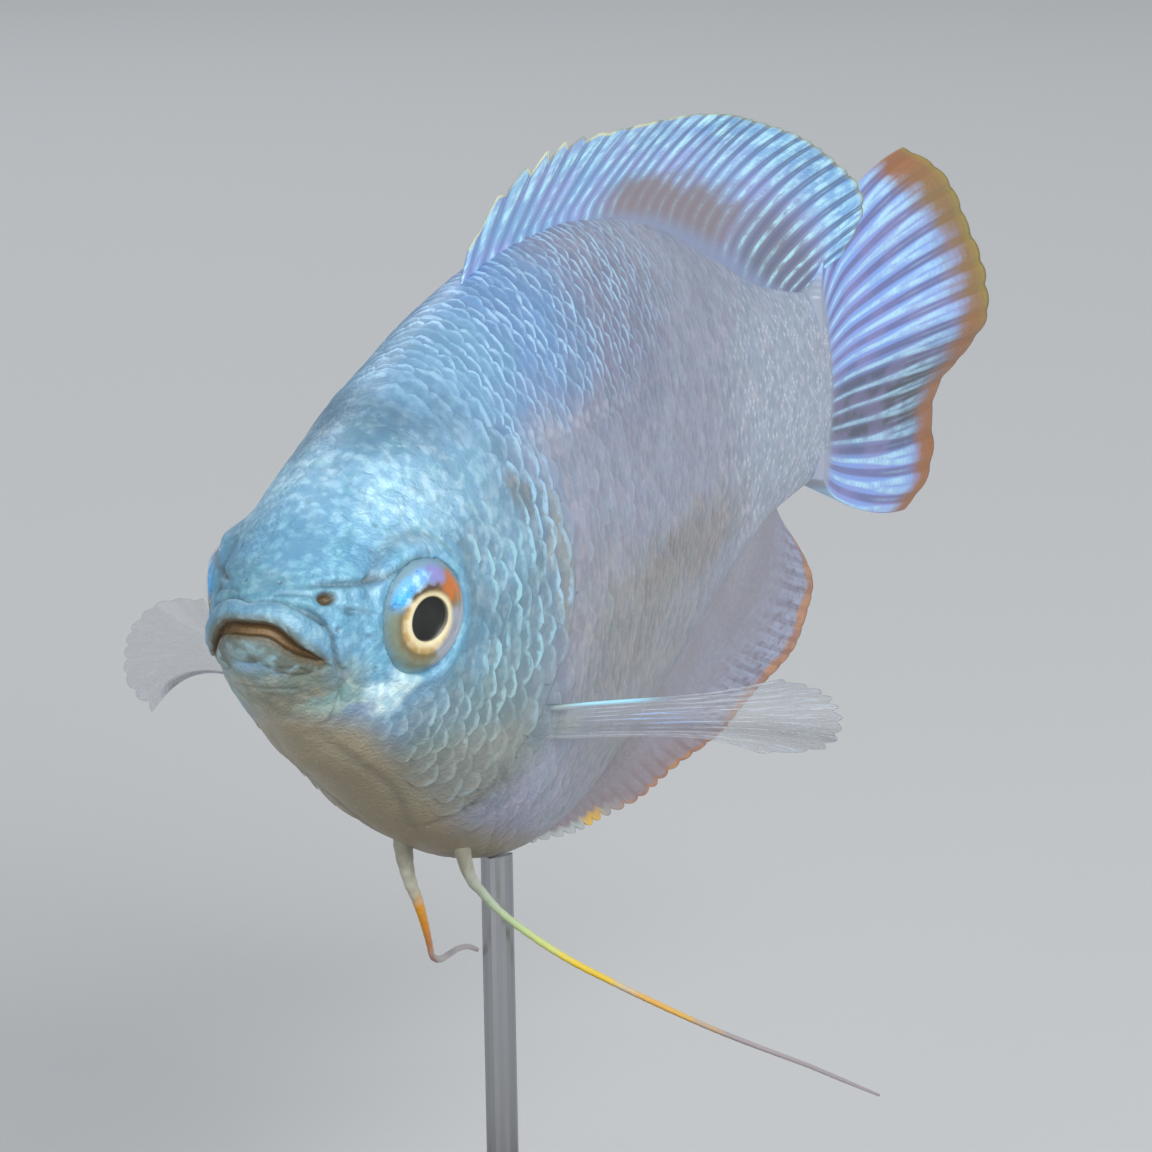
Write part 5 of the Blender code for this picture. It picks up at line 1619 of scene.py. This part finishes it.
# %% Build the fin streak group
streaks, board, start, end = new_group(
    "ray_streaks",
    (("Fin", "Vector"), ("Fork", "Float"), ("Width", "Float"), ("Break", "Float")),
    (("Streak", "Float"), ("Cell", "Float"), ("Gap", "Float"), ("Joints", "Float")))
ray, along, soft = board.split(start["Fin"])
off = board.math("ABSOLUTE", board.math("SUBTRACT", ray, board.math("ROUND", ray)))
past_fork = board.math("SUBTRACT", along, start["Fork"])
first = board.times(board.ramp(past_fork, 0.0, 0.35), 0.17)
second = board.times(board.ramp(past_fork, 0.25, 0.60), 0.075)
from_branch = board.math("ABSOLUTE", board.math("SUBTRACT", off, first))
from_branch = board.math("ABSOLUTE", board.math("SUBTRACT", from_branch, second))
dash_place = board.node("CombineXYZ", {0: board.times(ray, 2.6),
                                       1: board.times(along, 9.0)}).outputs[0]
dashes = board.ramp(board.noise(dash_place, 1.0, 3.0), 0.36, 0.60)
dashes = board.scaled(board.math("SUBTRACT", dashes, 1.0), start["Break"], 1.0)
narrow = board.times(start["Width"], 0.30)
line = board.ramp(from_branch, start["Width"], narrow)
between = board.times(board.ramp(off, 0.42, 0.49), board.ramp(past_fork, 0.1, 0.3))
line = board.math("MAXIMUM", line, board.times(between, 0.4))
board.put(end["Streak"], board.times(line, dashes))
board.put(end["Cell"], board.ramp(off, 0.27, 0.40))
board.put(end["Gap"], board.ramp(off, 0.14, 0.30))
JOINT_WAVES = 210.0
joints = board.math("SINE", board.times(along, JOINT_WAVES))
board.put(end["Joints"], board.times(joints, board.ramp(from_branch, 0.12, 0.04)))
print("fin group sockets:", [item.name for item in streaks.interface.items_tree])

# %% [markdown]
# ## One finish for each fin
# Streaks have to lie over the ridges of the mesh, so each fin gives the group the number of
# its own rays. A fin's places are its ray number and the share of the way from root to
# edge. Soft ramps of these two say where on the fin a colour belongs, and every colour is
# laid over the ones before it, as a painter lays glazes.


# %% Write the fin finish
def fin_finish(name, rays, fork, width, broken, **constants):
    """A fin's material with the streak group placed in it, and its own measures."""
    material, board, shader = new_material(
        name, Specular_IOR_Level=0.4, Coat_Weight=0.12, Coat_Roughness=0.3, **constants)
    own = board.attribute("fin")
    parts = use_group(board, streaks, {"Fin": own, "Fork": fork, "Width": width, "Break": broken})
    board.relief(shader, parts["Joints"], 0.3, 0.00004)
    ray, along = board.split(own)[:2]
    across = board.math("DIVIDE", ray, float(rays - 1))
    blur = board.stretched(own, (0.9, 7.0, 0.0), 1.0, 3.0)
    return material, board, shader, parts, along, across, blur


def thin_out(board, shader, parts, along, start, full):
    """Let the skin between the rays turn a little clear on the outer part of a fin."""
    thin = board.times(parts["Cell"], board.ramp(along, start, full))
    board.put(shader.inputs["Alpha"], board.scaled(thin, -0.12, 1.0))


print("fin finish ready")

# %% [markdown]
# ## The dorsal fin's colours
# The dorsal fin is light blue with violet clouds, and brown low in its middle. A pale line
# glows on each ray. The margin is olive, and the front spines end in pale tips.

# %% Finish the dorsal fin
DORSAL_REAR = (0.300, 0.460, 0.820)
DORSAL_FRONT = (0.220, 0.400, 0.700)
DORSAL_VIOLET = (0.360, 0.370, 0.760)
DORSAL_DEEP = (0.125, 0.340, 0.680)
DORSAL_DUSK = (0.170, 0.160, 0.180)
DORSAL_CELL = (0.105, 0.135, 0.260)
DORSAL_BROWN = (0.255, 0.212, 0.215)
DORSAL_GLOW = (0.480, 0.840, 1.000)
DORSAL_ROOT = (0.260, 0.330, 0.520)
DORSAL_MARGIN = (0.380, 0.380, 0.160)
DORSAL_TIP = (0.660, 0.720, 0.500)
material, board, shader, parts, along, across, blur = fin_finish(
    "dorsal_finish", DORSAL_RAYS, 0.48, 0.20, 0.8, Roughness=0.45, Metallic=0.05)
front = board.ramp(across, 0.50, 0.30)
colour = board.mix(front, DORSAL_REAR, DORSAL_FRONT)
cloud = board.ramp(board.stretched(board.attribute("fin"), (0.4, 3.0, 0.0), 1.0, 2.0), 0.40, 0.60)
colour = board.paint(colour, DORSAL_VIOLET, cloud, 0.50)
rear_top = board.times(board.ramp(across, 0.30, 0.52), board.ramp(along, 0.55, 0.92))
colour = board.paint(colour, DORSAL_DEEP, rear_top, 0.8)
low_rear = board.times(board.ramp(across, 0.70, 0.84), board.ramp(along, 0.75, 0.40))
colour = board.paint(colour, DORSAL_DUSK, low_rear, 0.8)
zone = board.scaled(front, -0.15, board.scaled(rear_top, 0.15, 0.50))
colour = board.paint(colour, DORSAL_CELL, parts["Cell"], zone)
low = board.ramp(board.scaled(blur, 0.3, along), 0.72, 0.46)
brown = board.times(board.near(across, 0.56, 0.27, 0.13), low)
colour = board.paint(colour, DORSAL_BROWN, brown, 0.88)
uneven = board.scaled(board.ramp(blur, 0.36, 0.60), 0.6, 0.4)
colour = board.paint(colour, DORSAL_GLOW, parts["Streak"], board.scaled(brown, -0.85, 1.0),
                     board.ramp(along, 0.0, 0.15), uneven)
colour = board.paint(colour, DORSAL_ROOT, board.ramp(along, 0.22, 0.08), 0.8)
colour = board.paint(colour, DORSAL_MARGIN, board.ramp(along, 0.965, 0.995), 0.6)
tip_share = board.ramp(along, 0.955, 0.99)
colour = board.paint(colour, DORSAL_TIP, front, tip_share, board.ramp(blur, 0.42, 0.52))
board.put(shader.inputs["Base Color"], colour)
thin_out(board, shader, parts, along, 0.45, 0.80)
dorsal.data.materials.append(material)
print("finished", dorsal.name)

# %% [markdown]
# ## The anal fin's colours
# The anal fin is greyish lavender with a satin sheath over its root, where the rays hardly
# show. Freckles lie on its outer part, its margin is rusty orange, and the short spines in
# front carry one yellow fleck.

# %% Finish the anal fin
ANAL_LAVENDER = (0.265, 0.285, 0.385)
ANAL_CELL = (0.200, 0.195, 0.260)
ANAL_PINK = (0.290, 0.225, 0.265)
ANAL_CLOUD = (0.350, 0.400, 0.540)
ANAL_FRECKLE = (0.190, 0.130, 0.175)
ANAL_STREAK = (0.440, 0.500, 0.680)
SATIN_ROOT = (0.300, 0.305, 0.345)
SATIN_OUTER = (0.270, 0.285, 0.350)
SATIN_FRONT = (0.270, 0.215, 0.225)
SATIN_FINE = (0.370, 0.390, 0.500)
SATIN_CLOUD = (0.235, 0.205, 0.235)
ANAL_WARM = (0.290, 0.205, 0.195)
MARGIN_RUST = (0.380, 0.165, 0.085)
MARGIN_ORANGE = (0.520, 0.250, 0.105)
LOBE_GREY = (0.500, 0.560, 0.560)
LOBE_YELLOW = (0.900, 0.560, 0.080)
material, board, shader, parts, along, across, blur = fin_finish(
    "anal_finish", ANAL_RAYS, 0.45, 0.20, 0.9, Roughness=0.48, Metallic=0.05)
own = board.attribute("fin")
colour = board.paint(ANAL_LAVENDER, ANAL_CELL, parts["Cell"], 0.3)
pinkish = board.times(board.ramp(across, 0.62, 0.40), board.ramp(along, 0.45, 0.85))
colour = board.paint(colour, ANAL_PINK, pinkish, 0.8)
cloud = board.ramp(board.stretched(own, (0.35, 4.0, 0.0), 1.0, 3.0), 0.40, 0.62)
colour = board.paint(colour, ANAL_CLOUD, cloud, 0.45)
freckle = board.ramp(board.stretched(own, (2.0, 22.0, 0.0), 1.0, 2.0), 0.50, 0.60)
freckle = board.times(freckle, board.ramp(along, 0.25, 0.65), board.ramp(across, 0.15, 0.55))
colour = board.paint(colour, ANAL_FRECKLE, freckle, 0.65)
colour = board.paint(colour, ANAL_STREAK, parts["Streak"], 0.45)
sheath = board.ramp(board.scaled(blur, 0.3, along), 1.02, 0.62)
satin = board.mix(board.ramp(along, 0.10, 0.45), SATIN_ROOT, SATIN_OUTER)
satin = board.paint(satin, SATIN_FRONT, board.ramp(across, 0.55, 0.30), 0.8)
fine = board.ramp(board.stretched(own, (3.0, 26.0, 0.0), 1.0, 3.0), 0.35, 0.65)
satin = board.paint(satin, SATIN_FINE, fine, 0.45)
satin = board.paint(satin, SATIN_CLOUD, cloud, 0.35)
colour = board.paint(colour, satin, sheath, 0.90)
colour = board.paint(colour, ANAL_WARM, pinkish, 0.55)
widest = board.near(across, 0.74, 0.22, 0.06)
edge = board.math("ADD", board.scaled(blur, 0.10, along), board.times(widest, 0.035))
margin = board.times(board.ramp(edge, 0.96, 1.03), board.ramp(across, 0.16, 0.30))
margin_tone = board.mix(board.ramp(blur, 0.40, 0.58), MARGIN_RUST, MARGIN_ORANGE)
colour = board.paint(colour, margin_tone, margin, 0.85)
lobe_tone = board.mix(board.near(across, 0.17, 0.045, 0.02), LOBE_GREY, LOBE_YELLOW)
colour = board.paint(colour, lobe_tone, board.ramp(edge, 0.80, 0.95), board.ramp(across, 0.30, 0.14))
board.put(shader.inputs["Base Color"], colour)
thin_out(board, shader, parts, along, 0.60, 0.85)
anal.data.materials.append(material)
print("finished", anal.name)

# %% [markdown]
# ## The tail fin's colours
# The tail fin is violet between bright blue rays, with painted shade where its lower lobe turns away, and
# bordered in orange. The streaks cut a little way into that border.

# %% Finish the tail fin
TAIL_VIOLET = (0.175, 0.205, 0.450)
# painted shade between the rays of the lower lobe, which turns away
TAIL_SHADE = (0.090, 0.105, 0.150)
TAIL_RAY = (0.250, 0.400, 0.860)
# painted shade on the rays of the lower lobe
TAIL_RAY_SHADE = (0.120, 0.175, 0.290)
TAIL_PATCH = (0.380, 0.340, 0.680)
TAIL_GLOW = (0.480, 0.800, 1.000)
TAIL_ROOT = (0.360, 0.410, 0.520)
BORDER_MIDDLE = (0.300, 0.190, 0.085)
BORDER_LOW = (0.350, 0.150, 0.062)
BORDER_TOP = (0.350, 0.160, 0.080)
BORDER_RIM = (0.330, 0.270, 0.080)
material, board, shader, parts, along, across, blur = fin_finish(
    "caudal_finish", 16, 0.40, 0.17, 0.6, Roughness=0.45, Metallic=0.05)
# painted shade: the lower lobe, which turns away, gets darker tones, wider dark gaps and weaker streaks
low = board.times(board.ramp(across, 0.45, 0.62), board.ramp(across, 0.90, 0.76))
between = board.mix(low, TAIL_VIOLET, TAIL_SHADE)
ray_tone = board.mix(low, TAIL_RAY, TAIL_RAY_SHADE)
wider = board.times(board.math("SUBTRACT", parts["Gap"], parts["Cell"]), low)
colour = board.mix(board.math("ADD", parts["Cell"], wider), ray_tone, between)
patch = board.stretched(board.attribute("fin"), (0.55, 5.0, 0.0), 1.0, 3.0)
colour = board.paint(colour, TAIL_PATCH, board.ramp(patch, 0.42, 0.60), 0.30)
colour = board.paint(colour, TAIL_GLOW, parts["Streak"], board.ramp(along, 0.96, 0.66),
                     board.ramp(along, 0.04, 0.16), board.scaled(low, -0.25, 0.90))
colour = board.mix(board.ramp(along, 0.16, 0.04), colour, TAIL_ROOT)
edge = board.scaled(board.ramp(across, 0.30, 0.0), 0.10, along)
edge = board.scaled(parts["Streak"], -0.03, board.scaled(blur, 0.16, edge))
orange = board.mix(board.ramp(across, 0.40, 0.62), BORDER_MIDDLE, BORDER_LOW)
orange = board.mix(board.ramp(across, 0.16, 0.02), orange, BORDER_TOP)
rim_share = board.times(board.ramp(along, 0.94, 0.99), board.ramp(across, 0.65, 0.40))
orange = board.paint(orange, BORDER_RIM, rim_share, 0.7)
colour = board.mix(board.ramp(edge, 0.84, 1.01), colour, orange)
board.put(shader.inputs["Base Color"], colour)
thin_out(board, shader, parts, along, 0.30, 0.70)
caudal.data.materials.append(material)
print("finished", caudal.name)

# %% [markdown]
# ## The pectoral fins' colours
# These fins are nearly clear, so colour alone can't show them: the Alpha socket lets the
# flank shine through, and only rays and bright strands hide it. The left fin, which lies
# over the flank, carries the brightest strands. The fleshy root is nearly opaque.

# %% Finish the pectoral fins
CLEAR_ROOT = (0.330, 0.370, 0.450)
CLEAR_OUTER = (0.330, 0.350, 0.390)
CLEAR_STREAK = (0.560, 0.620, 0.700)
TOP_RAY_BLUE = (0.400, 0.780, 1.000)
STRAND_BLUE = (0.420, 0.600, 1.000)
FLESH_GREY = (0.270, 0.330, 0.340)
FLESH_PALE = (0.420, 0.500, 0.450)
for fin, left in zip(pectorals, (1.0, 0.0)):
    material, board, shader, parts, along, across, blur = fin_finish(
        fin.name + "_finish", 11, 0.15, 0.09, 0.8, Roughness=0.4)
    streak = parts["Streak"]
    colour = board.mix(board.ramp(along, 0.05, 0.45), CLEAR_ROOT, CLEAR_OUTER)
    colour = board.mix(streak, colour, CLEAR_STREAK)
    top_ray = board.times(board.ramp(across, 0.16, 0.04), board.ramp(along, 0.52, 0.30), left)
    strands = board.times(board.near(across, 0.50, 0.24, 0.10), board.ramp(along, 0.56, 0.42),
                          board.ramp(along, 0.14, 0.30), left)
    colour = board.mix(top_ray, colour, TOP_RAY_BLUE)
    colour = board.paint(colour, STRAND_BLUE, strands, streak)
    flesh = board.mix(board.ramp(blur, 0.42, 0.58), FLESH_GREY, FLESH_PALE)
    colour = board.paint(colour, flesh, board.ramp(along, 0.20, 0.08), 0.9)
    board.put(shader.inputs["Base Color"], colour)

    chosen_rays = board.ramp(board.math("SINE", board.scaled(across, 19.0, 1.2)), 0.0, 0.9)
    bright_rays = board.times(chosen_rays, streak, board.ramp(along, 0.4, 0.7), left)
    low_ray = board.times(board.ramp(across, 0.90, 1.0), board.ramp(along, 0.98, 0.80), 1.0 - left)
    clear = board.scaled(streak, 0.10 + 0.28 * left, 0.18 + 0.06 * left)
    root = board.ramp(along, 0.26, 0.08)
    for share in (top_ray, board.times(strands, streak), bright_rays, low_ray, root):
        clear = board.math("MAXIMUM", clear, board.times(share, 0.85))
    fade_in = board.ramp(board.scaled(blur, 0.16, along), 0.12, 0.30)
    fade_in = board.math("MAXIMUM", fade_in, board.times(top_ray, board.ramp(along, 0.04, 0.08)))
    board.put(shader.inputs["Alpha"], board.times(clear, fade_in))
    fin.data.materials.append(material)
    print("finished", fin.name)

# %% [markdown]
# ## The feelers
# A gourami's pelvic fins are two long threads, each one stretched ray, with which it feels
# its way. A tube along a smooth path is right for them, thicker and paler at the root. The
# path keeps the points of the solid model's route, and the kink of the right one.

# %% Write the feeler maker
LEFT_FEELER = (
    (14.1, -1.1, -9.8), (14.2, -1.1, -10.9), (14.8, -1.15, -12.2), (15.6, -1.2, -12.9),
    (16.4, -1.3, -13.6), (18.6, -1.7, -15.2), (20.9, -2.2, -16.7), (23.6, -2.7, -18.2),
    (29.4, -3.9, -21.3), (38.6, -5.2, -25.6), (44.1, -5.7, -28.1),
)
RIGHT_FEELER = (
    (14.1, 1.1, -9.8), (14.1, 1.2, -11.2), (14.3, 1.1, -12.3), (14.9, 1.1, -13.2),
    (15.9, 1.3, -14.4), (16.7, 1.5, -15.4), (17.1, 1.6, -15.95), (17.5, 1.68, -16.15),
    (18.6, 2.0, -16.5), (20.6, 2.6, -16.9), (24.5, 4.0, -17.8), (28.0, 5.2, -18.75), (30.2, 5.9, -19.5),
)
# share of the length and radius there in mm
LEFT_RADIUS = ((0.0, 0.54), (0.03, 0.38), (0.06, 0.27), (0.09, 0.20), (0.14, 0.155), (0.30, 0.135),
               (0.50, 0.115), (0.70, 0.10), (0.90, 0.09), (1.0, 0.06))
RIGHT_RADIUS = ((0.0, 0.56), (0.06, 0.42), (0.10, 0.32), (0.15, 0.25), (0.22, 0.20), (0.29, 0.15),
                (0.33, 0.13), (0.60, 0.125), (1.0, 0.095))
FEELER_RINGS = 240
FEELER_SIDES = 20


def feeler_piece(name, route, thickness):
    """A closed tube along a route, with its share of the length as a value."""
    route = np.array(route)
    steps = np.linalg.norm(np.diff(route, axis=0), axis=1)
    knots = np.concatenate([[0.0], np.cumsum(steps)]) / steps.sum()
    share = np.linspace(0, 1, FEELER_RINGS)
    path = smooth(knots, route, share)
    along = np.gradient(path, axis=0)
    along = along / np.linalg.norm(along, axis=1, keepdims=True)
    side = np.cross(along, (0.0, 1.0, 0.0))
    side = side / np.linalg.norm(side, axis=1, keepdims=True)
    other = np.cross(along, side)
    table = np.array(thickness)
    radius = np.interp(share, table[:, 0], table[:, 1])
    radius = radius * (1 + 0.03 * np.sin(share * 260.0))
    turns = np.arange(FEELER_SIDES) * 2 * math.pi / FEELER_SIDES
    ring = side[:, None] * np.cos(turns)[:, None] + 0.8 * other[:, None] * np.sin(turns)[:, None]
    points = (path[:, None] + radius[:, None, None] * ring).reshape(-1, 3)
    faces = grid_faces(FEELER_RINGS, FEELER_SIDES, closed=True)
    last = (FEELER_RINGS - 1) * FEELER_SIDES
    faces.append(tuple(range(FEELER_SIDES - 1, -1, -1)))
    faces.append(tuple(range(last, last + FEELER_SIDES)))
    obj = make_piece(name, to_stand(points), faces, "feelers", (name,),
                     feeler=np.repeat(share, FEELER_SIDES))
    turn_faces_out(obj)
    return obj


print("feeler rings:", FEELER_RINGS)

# %% [markdown]
# ## The feelers' colours
# Along each feeler run bands of yellow and orange, broken by grey, which are what one sees
# of it from afar. The stored share of the length drives a colour ramp with the bands as its
# stops, and a fine grain shifts them a little, so that they have no ruled edges.


# %% Finish and grow the feelers
def feeler_finish(name, stops):
    """A satin finish whose colour runs along the feeler through the given stops."""
    material, board, shader = new_material(name, Roughness=0.38, Coat_Weight=0.3, Coat_Roughness=0.2)
    share = board.attribute("feeler", "Fac")
    grain = board.noise(board.node("TexCoord").outputs["Object"], 3000.0, 2.0)
    share = board.math("ADD", share, board.scaled(grain, 0.06, -0.03))
    ramp = board.node("ValToRGB", {"Fac": share})
    while len(ramp.color_ramp.elements) < len(stops):
        ramp.color_ramp.elements.new(0.5)
    for element, (at, tint) in zip(ramp.color_ramp.elements, stops):
        element.position = at
        element.color = (*tint, 1.0)
    board.put(shader.inputs["Base Color"], ramp.outputs["Color"])
    return material


feeler_left = feeler_piece("pelvic_feeler_left", LEFT_FEELER, LEFT_RADIUS)
feeler_left.data.materials.append(feeler_finish("feeler_left_finish", (
    (0.0, (0.25, 0.24, 0.18)), (0.04, (0.27, 0.26, 0.20)), (0.07, (0.40, 0.43, 0.37)),
    (0.11, (0.44, 0.54, 0.40)), (0.18, (0.50, 0.66, 0.32)), (0.25, (0.68, 0.72, 0.20)),
    (0.285, (0.88, 0.66, 0.05)), (0.36, (0.86, 0.60, 0.06)), (0.39, (0.64, 0.55, 0.40)),
    (0.445, (0.82, 0.46, 0.08)), (0.52, (0.78, 0.48, 0.12)), (0.555, (0.50, 0.42, 0.38)),
    (0.58, (0.62, 0.42, 0.22)), (0.61, (0.42, 0.37, 0.39)), (1.0, (0.36, 0.33, 0.36)))))
feeler_right = feeler_piece("pelvic_feeler_right", RIGHT_FEELER, RIGHT_RADIUS)
feeler_right.data.materials.append(feeler_finish("feeler_right_finish", (
    (0.0, (0.25, 0.24, 0.18)), (0.075, (0.27, 0.26, 0.20)), (0.12, (0.43, 0.43, 0.36)),
    (0.15, (0.48, 0.45, 0.34)), (0.18, (0.76, 0.36, 0.04)), (0.24, (0.74, 0.30, 0.04)),
    (0.29, (0.52, 0.24, 0.10)), (0.34, (0.38, 0.28, 0.26)), (0.40, (0.40, 0.36, 0.38)),
    (0.85, (0.34, 0.29, 0.30)), (1.0, (0.30, 0.22, 0.22)))))

# %% [markdown]
# ## The stand
# The base is turned from one piece of dark walnut and varnished, and the rod is polished
# steel. Both solids already have the right shape, so they only need their finish. Wood
# grain is stretched noise: rings of growth, cut lengthwise, look like long uneven bands,
# and fine pores run along them.

# %% Finish the stand
WALNUT_DARK = (0.060, 0.027, 0.014)
WALNUT_LIGHT = (0.150, 0.075, 0.036)
WALNUT_RED = (0.105, 0.048, 0.024)
PORE_DARK = (0.025, 0.012, 0.007)
wood, board, shader = new_material("walnut", Coat_Weight=0.12, Coat_Roughness=0.40, Specular_IOR_Level=0.3)
place = board.node("TexCoord").outputs["Object"]
clouds = board.stretched(place, (60.0, 420.0, 420.0), 0.5, 2.0)
bands = board.node("TexWave", {"Vector": board.vector("MULTIPLY", place, (22.0, 260.0, 200.0)),
                               "Scale": 1.0, "Distortion": 5.0, "Detail": 3.0, "Detail Scale": 1.2},
                   bands_direction="Y").outputs["Fac"]
pores = board.ramp(board.stretched(place, (250.0, 4200.0, 4200.0), 1.0, 2.0), 0.56, 0.66)
colour = board.mix(bands, WALNUT_DARK, WALNUT_LIGHT)
colour = board.paint(colour, WALNUT_RED, clouds, 0.5)
colour = board.paint(colour, PORE_DARK, pores, 0.6)
board.put(shader.inputs["Base Color"], colour)
board.put(shader.inputs["Roughness"], board.scaled(pores, 0.2, 0.48))
board.relief(shader, pores, 0.25, 0.00005)

steel, board, shader = new_material("polished_steel", Base_Color=(0.36, 0.37, 0.39), Metallic=1.0)
place = board.node("TexCoord").outputs["Object"]
brush = board.stretched(place, (6000.0, 6000.0, 300.0), 1.0, 2.0)
board.put(shader.inputs["Roughness"], board.scaled(brush, 0.14, 0.24))
board.relief(shader, brush, 0.1, 0.00001)

for node, finish in (("stand_base", wood), ("stand_rod", steel)):
    solid = frame["nodes"][node]
    solid.data.materials.clear()
    solid.data.materials.append(finish)
    solid.data.shade_smooth()
    solid.data.set_sharp_from_angle(angle=math.radians(32))
print("rod stands on", round(base_high[2] / MM, 1), "mm of wood")
